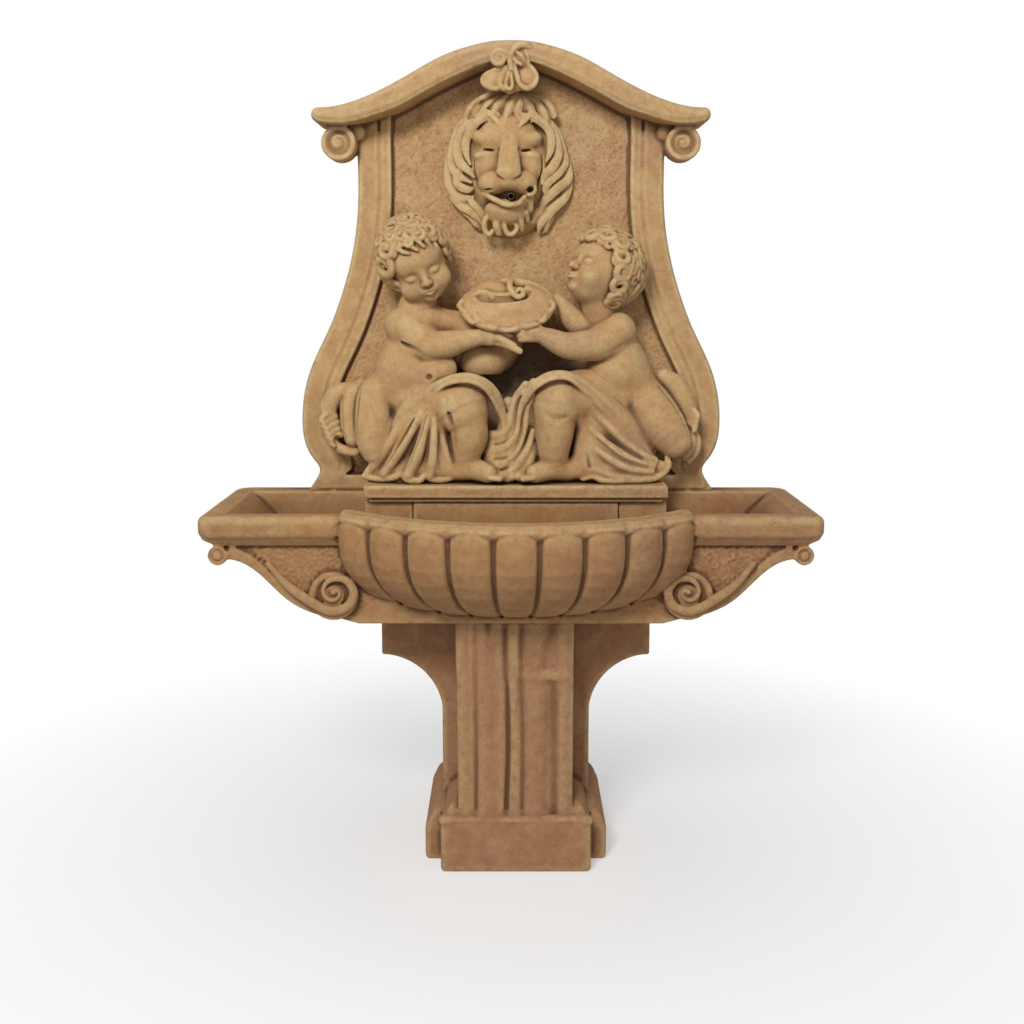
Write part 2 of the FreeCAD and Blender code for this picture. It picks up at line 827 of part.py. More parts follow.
def hanger_screw_space(x, z):
    shank = rod_y(screw_radius, x, wall_y - 10.0, wall_y + cut_over, z)
    return shank.fuse(screw_cone(x, z))


def screw_cone(x, z):
    start = Vec(x, wall_y - screw_sink, z)
    return Part.makeCone(screw_radius, screw_head_radius, screw_sink, start, Vec(0, 1, 0))


def make_hanger_screws():
    screws = []
    for sign in (-1, 1):
        for up in (-screw_up, screw_up):
            x = sign * hanger_x
            z = hanger_z() + up
            shank = rod_y(screw_radius, x, wall_y - screw_length, wall_y - screw_sink, z)
            drive = box(x - 0.6, x + 0.6, wall_y - 1.2, wall_y + 1.0, z - 3.2, z + 3.2)
            screws.append(shank.fuse(screw_cone(x, z)).cut(drive))
    return Part.makeCompound(screws)


# Crown ornament: fan of petals over two small volutes

petal_angles = (-58.0, -30.0, 0.0, 30.0, 58.0)
petal_length = 54.0
petal_width = 15.0


def make_crown_ornament():
    y = wall_y - cornice_projection
    root = Vec(0, y + 6.0, overall_height - 46.0)
    body = ellipsoid(Vec(0, y + 14.0, overall_height - 44.0), 34.0, 22.0, 20.0)
    pieces = []
    for angle in petal_angles:
        a = math.radians(angle)
        reach = petal_length * 0.55
        centre = Vec(math.sin(a) * reach, y + 8.0, root.z - math.cos(a) * reach)
        pieces.append(ellipsoid(centre, petal_width, 13.0, petal_length / 2, angle))
    pieces.append(rod_y(19.0, -46.0, y - 6.0, y + 24.0, overall_height - 32.0))
    pieces.append(rod_y(17.0, 42.0, y - 6.0, y + 24.0, overall_height - 42.0))
    shape = body.fuse(pieces)
    return shape.cut(crown_seat())


def crown_seat():
    return cornice(2 * seat_gap).fuse(gable_slab(0.0, field_y() - seat_gap, wall_y))


# Lion mask: domed mane, muzzle and brow, bored for the spout

def lion_z():
    return overall_height - lion_below_crown


def field_y():
    return wall_y - panel_thickness + field_depth


def make_lion_mask():
    z = lion_z()
    y = field_y()
    mane = ellipsoid(Vec(0, y, z), lion_half_width, lion_relief * 0.75, lion_half_height)
    face = ellipsoid(Vec(0, y - lion_relief * 0.45, z + 12.0), 72.0, 52.0, 92.0)
    muzzle = ellipsoid(Vec(0, y - lion_relief * 0.85, spout_z() + 24.0), 40.0, 36.0, 30.0)
    chin = ellipsoid(Vec(0, y - lion_relief * 0.7, spout_z() - 26.0), 27.0, 30.0, 22.0)
    shape = mane.fuse([face, muzzle, chin])
    shape = shape.cut(box(-200.0, 200.0, y, y + 200.0, z - 300.0, z + 300.0))
    mouth = rod_y(tube_radius + seat_gap, 0, y - 200.0, y + cut_over, spout_z())
    seat = rod_y(bushing_radius + seat_gap, 0, y - bushing_length - seat_gap, y + cut_over, spout_z())
    return shape.cut(mouth).cut(seat)


# Figures: two seated children, heads towards the middle. Each joint is (out from the middle, out from
# the sunk field, height above the ledge)

def ledge_top_z():
    return wing_rim_z + ledge_thickness


def figure(sign, joints):
    z0 = ledge_top_z()
    back = field_y()

    def at(name):
        x, out, up = joints[name]
        return Vec(sign * x, back - out, z0 + up)

    hip = at("hip")
    chest = at("chest")
    torso = limb(hip, chest, 66.0, 54.0)
    pieces = [Part.makeSphere(head_radius, at("head"))]
    pieces.append(limb(chest, at("head"), 36.0, 34.0))
    pieces.append(limb(at("shoulder"), at("elbow"), 34.0, 27.0))
    pieces.append(limb(at("elbow"), at("hand"), 27.0, 18.0))
    pieces.append(limb(hip, at("front_knee"), 56.0, 38.0))
    pieces.append(limb(at("front_knee"), at("front_foot"), 36.0, 22.0))
    pieces.append(limb(at("hip"), at("back_knee"), 60.0, 42.0))
    pieces.append(limb(at("back_knee"), at("back_foot"), 34.0, 26.0))
    drape = ellipsoid(at("drape"), 84.0, 50.0, 66.0, sign * 18.0)
    pieces.append(drape)
    shape = torso.fuse(pieces)
    shape = shape.cut(box(-900.0, 900.0, back, back + 400.0, z0 - 200.0, z0 + 900.0))
    return shape.cut(box(-900.0, 900.0, -400.0, 600.0, z0 - 300.0, z0))


left_joints = {"head": (190.0, 73.0, 456.0), "chest": (186.0, 59.0, 300.0), "hip": (245.0, 61.0, 165.0),
               "shoulder": (222.0, 73.0, 318.0), "elbow": (160.0, 105.0, 272.0), "hand": (40.0, 125.0, 290.0),
               "front_knee": (88.0, 125.0, 165.0), "front_foot": (84.0, 125.0, 24.0),
               "back_knee": (302.0, 97.0, 62.0), "back_foot": (366.0, 51.0, 130.0),
               "drape": (214.0, 91.0, 70.0)}
right_joints = {"head": (190.0, 73.0, 438.0), "chest": (184.0, 59.0, 296.0), "hip": (262.0, 61.0, 165.0),
                "shoulder": (218.0, 73.0, 312.0), "elbow": (150.0, 105.0, 270.0), "hand": (45.0, 125.0, 288.0),
                "front_knee": (92.0, 125.0, 170.0), "front_foot": (96.0, 125.0, 24.0),
                "back_knee": (340.0, 97.0, 62.0), "back_foot": (388.0, 51.0, 120.0),
                "drape": (226.0, 91.0, 80.0)}


def mid_gap_cut(shape, sign):
    slab = box(0.0, 900.0, -400.0, 600.0, 0.0, overall_height)
    slab.translate(Vec(seat_gap / 2, 0, 0))
    return shape.common(slab if sign > 0 else mirrored(slab))


def dish_rim_z():
    return ledge_top_z() + dish_rim_above_ledge


def dish_y():
    return field_y() - dish_out


def dish_outside():
    z = dish_rim_z()
    bowl = ellipsoid(Vec(dish_x, dish_y(), z), dish_radius_x, dish_radius_y, dish_height)
    bowl = bowl.cut(box(-300.0, 300.0, -300.0, 600.0, z, z + 300.0))
    low = Vec(dish_x - 20.0, field_y() - 20.0, z - 120.0)
    neck = limb(Vec(dish_x, dish_y() + 40.0, z - 60.0), low, 44.0, 52.0)
    back = ellipsoid(Vec(dish_x, field_y() - 18.0, z - 16.0), 62.0, 34.0, 44.0)
    shape = bowl.fuse([neck, back])
    return shape.cut(box(-300.0, 300.0, field_y(), field_y() + 300.0, 0, overall_height))


def make_shell_dish():
    z = dish_rim_z()
    hollow = ellipsoid(Vec(dish_x, dish_y(), z + 2.0), dish_radius_x - dish_wall, dish_radius_y - dish_wall,
                       dish_height - dish_wall)
    tall = box(-300.0, 300.0, -300.0, field_y() - 40.0, z, z + 100.0)
    return dish_outside().cut(hollow).cut(tall)


def make_putto(sign, joints):
    shape = mid_gap_cut(figure(sign, joints), sign)
    swollen = dish_outside()
    return shape.cut(swollen)


# Riser under the figures: ledge, two piers and the removable pump cover

def make_ledge():
    front = riser_front_y - ledge_overhang
    back = wall_y - panel_thickness
    low = wing_rim_z
    top = box(-riser_half, riser_half, front, back, low + ledge_moulding, low + ledge_thickness)
    edges = [e for e in top.Edges
             if e.BoundBox.ZLength < 0.1 and e.BoundBox.ZMin > low + ledge_thickness - 1.0]
    edges = [e for e in edges if e.BoundBox.YMin < back - 1.0]
    top = top.makeFillet(4.0, edges)
    inset = ledge_moulding
    under = box(-riser_half + inset, riser_half - inset, front + inset, back, low, low + ledge_moulding)
    return on_axis(fuse(top, under))


def make_pier(sign):
    inner = riser_half - pier_width
    back = wall_y - panel_thickness
    pier = box(inner, riser_half, riser_front_y, back, floor_z, wing_rim_z)
    return on_axis(pier if sign > 0 else mirrored(pier))


def cover_half():
    return riser_half - pier_width - slide_gap


def make_pump_cover():
    low = floor_z + slide_gap
    high = wing_rim_z - slide_gap
    y0 = riser_front_y - 4.0
    panel = box(-cover_half(), cover_half(), y0, y0 + cover_thickness, low, high)
    edges = [e for e in panel.Edges if e.BoundBox.YMax < y0 + 0.1]
    panel = panel.makeFillet(3.0, edges)
    for sign in (-1, 0, 1):
        arch = rod_y(cover_arch_radius, sign * cover_arch_x, y0 - 1.0, y0 + cover_thickness + 1.0, low)
        panel = panel.cut(arch)
    pads = []
    for sign in (-1, 1):
        x = sign * (cover_half() - cover_pad_in)
        pads.append(box(x - cover_pad_half, x + cover_pad_half, y0 + 6.0, y0 + cover_thickness - 6.0, floor_z,
                        low + 1.0))
    return on_axis(panel.fuse(pads))


# Pump on its feet behind the cover

def pump_base_z():
    return floor_z + foot_pad_height


def pump_axis_z():
    return pump_base_z() + pump_height / 2


# The outlet stands where the hose needs it: two bends and a short run from the middle
def pump_outlet_x():
    return 2 * hose_bend + hose_run


def pump_left_x():
    return pump_outlet_x() - volute_chamber_length / 2 - cover_plate


def pump_y():
    return groove_y - 2 * hose_bend - hose_back_run


def rotor_well():
    return volute_chamber_length + rotor_length + 4.0


def make_pump_feet():
    feet = []
    for x in (pump_left_x() + foot_in, pump_left_x() + pump_length - foot_in):
        for side in (-1, 1):
            y = pump_y() + side * (pump_depth / 2 - foot_in + 2.0)
            cone = Part.makeCone(9.0, 5.0, foot_pad_height, Vec(x, y, floor_z), Vec(0, 0, 1))
            feet.append(cone)
    return Part.makeCompound(feet)


def make_pump_housing():
    x0 = pump_left_x() + cover_plate
    x1 = pump_left_x() + pump_length
    y0 = pump_y() - pump_depth / 2
    y1 = pump_y() + pump_depth / 2
    z0 = pump_base_z()
    z1 = z0 + pump_height
    body = box(x0, x1, y0, y1, z0, z1)
    along = [e for e in body.Edges if e.BoundBox.XLength > 1.0]
    body = body.makeFillet(body_round, along)
    ribs = []
    for i in range(rib_count):
        x = x0 + rotor_radius + 25.0 + i * rib_pitch
        ribs.append(box(x, x + rib_width, y0 - rib_proud, y1 + rib_proud, z0 + 12.0, z1 - 12.0))
    x = pump_outlet_x()
    boss = rod_z(outlet_radius + outlet_wall, x, pump_y(), z1 - 10.0, z1 + outlet_height)
    body = body.fuse(ribs + [boss])
    z = pump_axis_z()
    chamber = rod_x(volute_chamber_radius, x0 - cut_over, x0 + volute_chamber_length, pump_y(), z)
    end_x = x0 + rotor_well()
    bore = rod_x(rotor_radius + 1.0, x0, end_x, pump_y(), z)
    outlet = rod_z(outlet_radius, x, pump_y(), z, z1 + outlet_height + cut_over)
    shaft_hole = rod_x(shaft_radius, end_x - 1.0, end_x + shaft_seat, pump_y(), z)
    gland = rod_x(gland_radius, x1 - gland_depth, x1 + cut_over, pump_y(), z)
    return body.cut(chamber).cut(bore).cut(outlet).cut(shaft_hole).cut(gland)


def make_impeller_cover():
    z = pump_axis_z()
    x0 = pump_left_x()
    x1 = x0 + cover_plate
    eye = 8.0
    spoke = 1.2
    plate = rod_x(volute_chamber_radius + cover_lap, x0, x1, pump_y(), z)
    plate = plate.cut(rod_x(eye, x0 - 1.0, x1 + 1.0, pump_y(), z))
    hub = rod_x(cover_plate, x0, x1, pump_y(), z)
    spokes = [box(x0, x1, pump_y() - spoke, pump_y() + spoke, z - eye - 1.0, z + eye + 1.0),
              box(x0, x1, pump_y() - eye - 1.0, pump_y() + eye + 1.0, z - spoke, z + spoke)]
    plate = plate.fuse([hub] + spokes)
    return plate.cut(rod_x(shaft_radius, x0 + 1.0, x1 + 1.0, pump_y(), z))


def make_impeller_shaft():
    x0 = pump_left_x() + 1.0
    end_x = pump_left_x() + cover_plate + rotor_well() + shaft_seat
    return rod_x(shaft_radius, x0, end_x, pump_y(), pump_axis_z())


def make_impeller():
    x0 = pump_left_x() + 5.0
    z = pump_axis_z()
    hub_end = x0 + volute_chamber_length - 2.0
    hub = rod_x(5.0, x0, hub_end, pump_y(), z)
    rotor = rod_x(rotor_radius, hub_end, hub_end + rotor_length, pump_y(), z)
    pieces = [rotor]
    for i in range(vane_count):
        vane = box(x0, hub_end - 3.0, pump_y() - 1.0, pump_y() + 1.0, z + 2.0, z + vane_radius)
        vane.rotate(Vec(0, pump_y(), z), Vec(1, 0, 0), 360.0 / vane_count * i)
        pieces.append(vane)
    shape = hub.fuse(pieces)
    return shape.cut(rod_x(shaft_radius + running_gap, x0 - 1.0, hub_end + rotor_length + 1.0, pump_y(), z))


def make_intake_screen():
    x1 = pump_left_x()
    x0 = x1 - screen_length
    y0 = pump_y() - pump_depth / 2
    y1 = pump_y() + pump_depth / 2
    z0 = pump_base_z()
    z1 = z0 + pump_height
    cap = box(x0, x1 + 4.0, y0, y1, z0, z1)
    along = [e for e in cap.Edges if e.BoundBox.XLength > 1.0]
    cap = cap.makeFillet(body_round, along)
    wall = screen_wall
    cap = cap.cut(box(x0 + wall, x1 + cut_over, y0 + wall, y1 - wall, z0 + wall, z1 - wall))
    cap = cap.cut(rod_x(dial_radius + 0.3, x0 - 1.0, x0 + 4.0, pump_y(), pump_axis_z()))
    for i in range(screen_slots):
        y = y0 + 8.0 + i * slot_pitch
        for z in (z0 + 5.0, z1 - 11.0):
            cap = cap.cut(box(x0 - 1.0, x0 + wall + 1.0, y, y + slot_width, z, z + 6.0))
    return cap


def make_flow_dial():
    z = pump_axis_z()
    x1 = pump_left_x() - screen_length + 3.0
    disc = rod_x(dial_radius, x1 - 3.0, x1, pump_y(), z)
    flange = rod_x(dial_radius + 2.5, x1 + 0.3, x1 + 2.3, pump_y(), z)
    stem = rod_x(dial_radius - 2.0, x1 - 1.0, x1 + 1.0, pump_y(), z)
    grip = box(x1 - 7.0, x1 - 2.0, pump_y() - 2.0, pump_y() + 2.0,
               z - dial_radius + 1.5, z + dial_radius - 1.5)
    disc = disc.fuse([flange, stem, grip])
    for i in range(3):
        a = math.radians(60.0 + 120.0 * i)
        port = rod_x(2.4, x1 - 8.0, x1 + 4.0, pump_y() + 7.0 * math.sin(a), z + 7.0 * math.cos(a))
        disc = disc.cut(port)
    return disc


def make_cord_gland():
    x1 = pump_left_x() + pump_length
    z = pump_axis_z()
    body = rod_x(gland_radius, x1 - gland_depth, x1, pump_y(), z)
    nut_end = x1 + 7.0
    nut = rod_x(gland_radius + 2.5, x1, nut_end, pump_y(), z)
    tail = Part.makeCone(6.5, 4.8, 9.0, Vec(nut_end, pump_y(), z), Vec(1, 0, 0))
    shape = body.fuse([nut, tail])
    return shape.cut(rod_x(cord_radius, x1 - gland_depth / 2, nut_end + 10.0, pump_y(), z))


# Flow valve above the pump, with its ball and lever

def valve_z0():
    return pump_base_z() + pump_height + outlet_height


def make_valve_body():
    x = pump_outlet_x()
    z0 = valve_z0()
    z1 = z0 + valve_height
    body = rod_z(valve_radius, x, pump_y(), z0, z1)
    collar = rod_z(valve_radius + 2.0, x, pump_y(), z0, z0 + valve_collar)
    upper = rod_z(valve_radius + 2.0, x, pump_y(), z1 - valve_collar, z1)
    neck = rod_y(valve_neck_radius, x, pump_y() - valve_radius - valve_neck, pump_y(), (z0 + z1) / 2)
    shape = body.fuse([collar, upper, neck])
    shape = shape.cut(rod_z(valve_bore, x, pump_y(), z0 - 1.0, z1 + 1.0))
    centre = Vec(x, pump_y(), (z0 + z1) / 2)
    shape = shape.cut(Part.makeSphere(valve_ball_radius + seat_gap, centre))
    y0 = pump_y() - valve_radius - valve_neck - 2.0
    return shape.cut(rod_y(valve_stem_radius + 2 * running_gap, x, y0, pump_y(), centre.z))


def make_valve_ball():
    x = pump_outlet_x()
    z = valve_z0() + valve_height / 2
    ball = Part.makeSphere(valve_ball_radius, Vec(x, pump_y(), z))
    stem = rod_y(valve_stem_radius, x, pump_y() - valve_radius - valve_neck - 4.0, pump_y() - 4.0, z)
    ball = ball.fuse(stem)
    return ball.cut(rod_z(valve_ball_bore, x, pump_y(), z - 20.0, z + 20.0))


def make_valve_lever():
    x = pump_outlet_x()
    z = valve_z0() + valve_height / 2
    y1 = pump_y() - valve_radius - valve_neck - 0.5
    y0 = y1 - 4.0
    hub = rod_y(8.0, x, y0 - 1.0, y1, z)
    arm = box(x - 5.0, x + 5.0, y0, y0 + 2.5, z, z + lever_length)
    tip = rod_y(5.0, x, y0, y0 + 2.5, z + lever_length)
    shape = hub.fuse([arm, tip])
    return shape.cut(rod_y(valve_stem_radius, x, y0 + 0.5, y1 + 1.0, z))


def make_hose_adapter():
    x = pump_outlet_x()
    z0 = valve_z0() + valve_height
    top = z0 + adapter_collar + barb_length
    collar = rod_z(11.0, x, pump_y(), z0, z0 + adapter_collar)
    barb = rod_z(hose_bore - running_gap, x, pump_y(), z0 + adapter_collar, top)
    shape = collar.fuse(barb)
    return shape.cut(rod_z(adapter_bore, x, pump_y(), z0 - 1.0, top + 1.0))


# Supply hose: up from the pump, across, back through the basin and up behind the panel

def hose_path():
    x0 = pump_outlet_x()
    y0 = pump_y()
    y1 = groove_y
    z0 = valve_z0() + valve_height + adapter_collar
    z1 = hose_top_z()
    z2 = spout_z() - tube_bend - hose_end_gap
    r = hose_bend
    s = r * (1.0 - math.sqrt(0.5))
    p0 = Vec(x0, y0, z0)
    p1 = Vec(x0, y0, z1 - r)
    m1 = Vec(x0 - s, y0, z1 - s)
    p2 = Vec(x0 - r, y0, z1)
    p3 = Vec(r, y0, z1)
    m2 = Vec(s, y0 + s, z1)
    p4 = Vec(0, y0 + r, z1)
    p5 = Vec(0, y1 - r, z1)
    m3 = Vec(0, y1 - s, z1 + s)
    p6 = Vec(0, y1, z1 + r)
    p7 = Vec(0, y1, z2)
    runs = [(p0, None, p1), (p1, m1, p2), (p2, None, p3), (p3, m2, p4), (p4, None, p5), (p5, m3, p6),
            (p6, None, p7)]
    edges = []
    for a, middle, b in runs:
        if b.sub(a).Length > 0.5:
            edges.append(Part.Arc(a, middle, b).toShape() if middle else line(a, b))
    return edges


# A round bar along straight runs and tangent arcs: a disc pushed or turned along each edge
def bar_along(edges, radius):
    bars = []
    for edge in edges:
        start = edge.valueAt(edge.FirstParameter)
        heading = edge.tangentAt(edge.FirstParameter)
        disc = Part.Face(Part.Wire(Part.Circle(start, heading, radius).toShape()))
        if isinstance(edge.Curve, Part.Circle):
            turn = math.degrees(edge.LastParameter - edge.FirstParameter)
            bars.append(disc.revolve(edge.Curve.Center, edge.Curve.Axis, turn))
        else:
            bars.append(disc.extrude(edge.valueAt(edge.LastParameter).sub(start)))
    return bars[0].fuse(bars[1:])


def tube_along(edges, outer, inner):
    return bar_along(edges, outer).cut(bar_along(edges, inner))


def make_supply_hose():
    path = hose_path()
    shape = tube_along(path, hose_radius, hose_bore)
    length = sum(edge.Length for edge in path)
    ratio = shape.Volume / (math.pi * (hose_radius ** 2 - hose_bore ** 2) * length)
    print("hose length", round(length), "bend radius", hose_bend, "volume ratio", round(ratio, 4))
    return shape


def make_hose_clamps():
    x = pump_outlet_x()
    low = valve_z0() + valve_height + adapter_collar
    top = spout_z() - tube_bend - hose_end_gap
    clamps = []
    for cx, cy, z in ((x, pump_y(), low + 6.0), (0.0, groove_y, top - 6.0 - clamp_width)):
        band = tube_z(hose_radius + clamp_thickness, hose_radius, cx, cy, z, z + clamp_width)
        edge = cy - hose_radius - seat_gap
        lug = box(cx - 3.0, cx + 3.0, edge - 4.7, edge, z + 1.0, z + clamp_width - 1.0)
        clamps.append(band.fuse(lug))
    return Part.makeCompound(clamps)


def make_spout_tube():
    z = spout_z()
    r = tube_bend
    s = r * (1.0 - math.sqrt(0.5))
    p0 = Vec(0, groove_y, z - r - 26.0)
    p1 = Vec(0, groove_y, z - r)
    middle = Vec(0, groove_y - s, z - s)
    p2 = Vec(0, groove_y - r, z)
    p3 = Vec(0, field_y() - spout_reach, z)
    path = [line(p0, p1), Part.Arc(p1, middle, p2).toShape(), line(p2, p3)]
    return tube_along(path, tube_radius - running_gap, tube_radius - tube_wall)


def make_spout_bushing():
    z = spout_z()
    y1 = field_y()
    ring = rod_y(bushing_radius, 0, y1 - bushing_length, y1, z)
    return ring.cut(rod_y(tube_radius, 0, y1 - bushing_length - 1.0, y1 + 1.0, z))


# Drain through the bowl floor, with its lift-out stopper

def make_drain_body():
    low = floor_z + gasket_thickness
    flange = rod_z(drain_flange_radius, drain_x, drain_y, low, low + flange_thickness)
    thread = rod_z(drain_radius - 0.2, drain_x, drain_y, basin_base_z - 14.0, low)
    shape = flange.fuse(thread)
    shape = shape.cut(rod_z(drain_bore, drain_x, drain_y, basin_base_z - 20.0, floor_z + 10.0))
    start = Vec(drain_x, drain_y, low + flange_thickness - stopper_height)
    taper = Part.makeCone(drain_bore, drain_bore + stopper_taper, stopper_height, start, Vec(0, 0, 1))
    return shape.cut(taper)


def make_drain_gasket():
    return tube_z(drain_flange_radius, drain_radius, drain_x, drain_y, floor_z, floor_z + gasket_thickness)


def make_drain_locknut():
    z1 = basin_base_z
    sides = []
    for i in range(6):
        a = math.radians(60.0 * i)
        sides.append(Vec(drain_x + nut_reach * math.cos(a), drain_y + nut_reach * math.sin(a),
                         z1 - nut_height))
    nut = prism(polygon_edges(sides), Vec(0, 0, nut_height))
    return nut.cut(rod_z(drain_radius - 0.15, drain_x, drain_y, z1 - 15.0, z1 + 5.0))


def make_drain_stopper():
    gap = 0.25
    top = floor_z + gasket_thickness + flange_thickness
    start = Vec(drain_x, drain_y, top - stopper_height + gap)
    plug = Part.makeCone(drain_bore - gap, drain_bore + stopper_taper - gap, stopper_height, start,
                         Vec(0, 0, 1))
    cap = rod_z(drain_bore + 6.0, drain_x, drain_y, top + gap, top + 4.0)
    neck = rod_z(4.0, drain_x, drain_y, top + 3.0, top + 13.0)
    ring_z = top + 11.0 + pull_ring_radius
    ring = Part.makeTorus(pull_ring_radius, 1.8, Vec(drain_x, drain_y, ring_z), Vec(0, 1, 0))
    return plug.fuse([cap, neck, ring])


# Rubber grommet where the pump's cord leaves through the back of the basin

def make_cord_grommet():
    y0 = wall_y - panel_thickness
    y1 = wall_y - channel_depth
    sleeve = rod_y(grommet_radius - 0.2, channel_x, y0, y1, grommet_z)
    flange = rod_y(grommet_flange, channel_x, y0 - 3.0, y0, grommet_z)
    back = rod_y(grommet_flange, channel_x, y1, y1 + 3.0, grommet_z)
    shape = sleeve.fuse([flange, back])
    return on_axis(shape.cut(rod_y(grommet_bore, channel_x, y0 - 10.0, y1 + 10.0, grommet_z)))


# Setting pads and dowels

def make_setting_pads():
    pads = []
    for x in (-head_half + 34.0, head_half - 34.0):
        for y in (shaft_front_y + 32.0, wall_y - 32.0):
            pads.append(rod_z(pad_radius, x, y, basin_base_z - pad_thickness, basin_base_z))
    pads.append(rod_z(pad_radius, 0.0, pilaster_front_y + 60.0, basin_base_z - pad_thickness, basin_base_z))
    return on_axis(Part.makeCompound(pads))


def make_base_dowels():
    return on_axis(Part.makeCompound([base_dowel(-base_dowel_x), base_dowel(base_dowel_x)]))


def make_panel_dowels():
    pins = []
    for sign in (-1, 1):
        z = wing_rim_z
        pins.append(rod_z(dowel_radius, sign * panel_dowel_x, panel_dowel_y(), z - dowel_length / 2,
                          z + dowel_length / 2))
    return Part.makeCompound(pins)


makers = {
    "pedestal": make_pedestal,
    "basin": make_basin,
    "back_panel": make_back_panel,
    "crown_ornament": make_crown_ornament,
    "lion_mask": make_lion_mask,
    "left_putto": lambda: make_putto(-1, left_joints),
    "right_putto": lambda: make_putto(1, right_joints),
    "shell_dish": make_shell_dish,
    "figure_ledge": make_ledge,
    "left_riser_pier": lambda: make_pier(-1),
    "right_riser_pier": lambda: make_pier(1),
    "pump_cover": make_pump_cover,
    "pump_housing": make_pump_housing,
    "impeller_cover": make_impeller_cover,
    "impeller_shaft": make_impeller_shaft,
    "pump_impeller": make_impeller,
    "pump_intake_screen": make_intake_screen,
    "flow_dial": make_flow_dial,
    "pump_feet": make_pump_feet,
    "pump_cord_gland": make_cord_gland,
    "flow_valve_body": make_valve_body,
    "flow_valve_ball": make_valve_ball,
    "flow_valve_lever": make_valve_lever,
    "hose_adapter": make_hose_adapter,
    "supply_hose": make_supply_hose,
    "hose_clamps": make_hose_clamps,
    "spout_tube": make_spout_tube,
    "spout_bushing": make_spout_bushing,
    "drain_body": make_drain_body,
    "drain_gasket": make_drain_gasket,
    "drain_locknut": make_drain_locknut,
    "drain_stopper": make_drain_stopper,
    "cord_grommet": make_cord_grommet,
    "setting_pads": make_setting_pads,
    "base_dowels": make_base_dowels,
    "panel_dowels": make_panel_dowels,
    "hanger_plates": make_hanger_plates,
    "hanger_screws": make_hanger_screws,
}

for name, maker in makers.items():
    shape = maker()
    shape.exportStep("parts/" + name + ".step")
    bounds = shape.BoundBox
    print(name, len(shape.Solids), "solids, valid", shape.isValid(),
          "volume cm3", round(shape.Volume / 1000, 1),
          "box", [round(v, 1) for v in (bounds.XMin, bounds.XMax, bounds.YMin, bounds.YMax, bounds.ZMin,
                                        bounds.ZMax)])
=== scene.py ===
import json
import math
import time

import bpy
import numpy as np
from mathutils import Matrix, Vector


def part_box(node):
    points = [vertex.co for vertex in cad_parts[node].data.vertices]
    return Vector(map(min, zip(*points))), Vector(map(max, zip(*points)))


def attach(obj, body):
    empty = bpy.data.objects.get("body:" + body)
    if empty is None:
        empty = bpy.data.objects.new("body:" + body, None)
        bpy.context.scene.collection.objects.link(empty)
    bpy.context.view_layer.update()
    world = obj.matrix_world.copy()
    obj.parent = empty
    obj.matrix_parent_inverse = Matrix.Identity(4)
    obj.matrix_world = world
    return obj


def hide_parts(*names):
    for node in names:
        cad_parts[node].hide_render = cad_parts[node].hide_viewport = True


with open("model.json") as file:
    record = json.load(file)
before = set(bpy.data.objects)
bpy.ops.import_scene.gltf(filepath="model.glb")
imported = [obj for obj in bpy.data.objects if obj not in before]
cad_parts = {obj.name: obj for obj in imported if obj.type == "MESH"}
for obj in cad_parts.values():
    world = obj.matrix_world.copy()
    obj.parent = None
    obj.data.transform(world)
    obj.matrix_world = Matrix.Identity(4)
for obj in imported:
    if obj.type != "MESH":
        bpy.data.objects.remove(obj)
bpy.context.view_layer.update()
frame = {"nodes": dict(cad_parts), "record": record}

import openvdb

started = time.time()
root = "fountain"
far = 1000.0
fieldCut = 211.0  # carving ends just inside the stone of the sunk field
ledgeCut = 776.0  # and just inside the top of the ledge
clays = []  # every block of clay, for the shade that one casts on another


def stage(words):
    print("stage:", words, round(time.time() - started, 1), "s")


# Clay: a grid of distances to the surface, in millimetres, negative inside

def smoothMin(a, b, soft):
    if soft <= 0:
        return np.minimum(a, b)
    h = np.clip(0.5 + 0.5 * (b - a) / soft, 0, 1)
    return b + (a - b) * h - soft * h * (1 - h)


def smoothCurve(points, parts):
    # Catmull-Rom through rows of numbers, ends held
    p = np.array(points, float)
    if len(p) < 3:
        return p
    p = np.vstack([2 * p[0] - p[1], p, 2 * p[-1] - p[-2]])
    rows = []
    for i in range(1, len(p) - 2):
        for t in np.arange(parts) / parts:
            a, b, c, d = p[i - 1:i + 3]
            rows.append(0.5 * (2 * b + (c - a) * t + (2 * a - 5 * b + 4 * c - d) * t * t
                               + (3 * b - a - 3 * c + d) * t ** 3))
    return np.array(rows + [p[-2]])


def turn(tilt=0.0, roll=0.0, yaw=0.0):
    # degrees: roll about Y (in the wall's plane), then tilt about X, then yaw about Z
    a, b, c = (math.radians(v) for v in (tilt, roll, yaw))
    rx = np.array([[1, 0, 0], [0, math.cos(a), -math.sin(a)], [0, math.sin(a), math.cos(a)]])
    ry = np.array([[math.cos(b), 0, math.sin(b)], [0, 1, 0], [-math.sin(b), 0, math.cos(b)]])
    rz = np.array([[math.cos(c), -math.sin(c), 0], [math.sin(c), math.cos(c), 0], [0, 0, 1]])
    return rz @ rx @ ry


def pointsOf(mesh, kind="co"):
    values = np.empty(len(mesh.vertices) * 3, np.float32)
    mesh.vertices.foreach_get(kind, values)
    return values.reshape(-1, 3)


def keep(mesh, name, values):
    # a number for each point, for the node trees
    mesh.attributes.new(name, "FLOAT", "POINT").data.foreach_set("value", values.astype(np.float32))


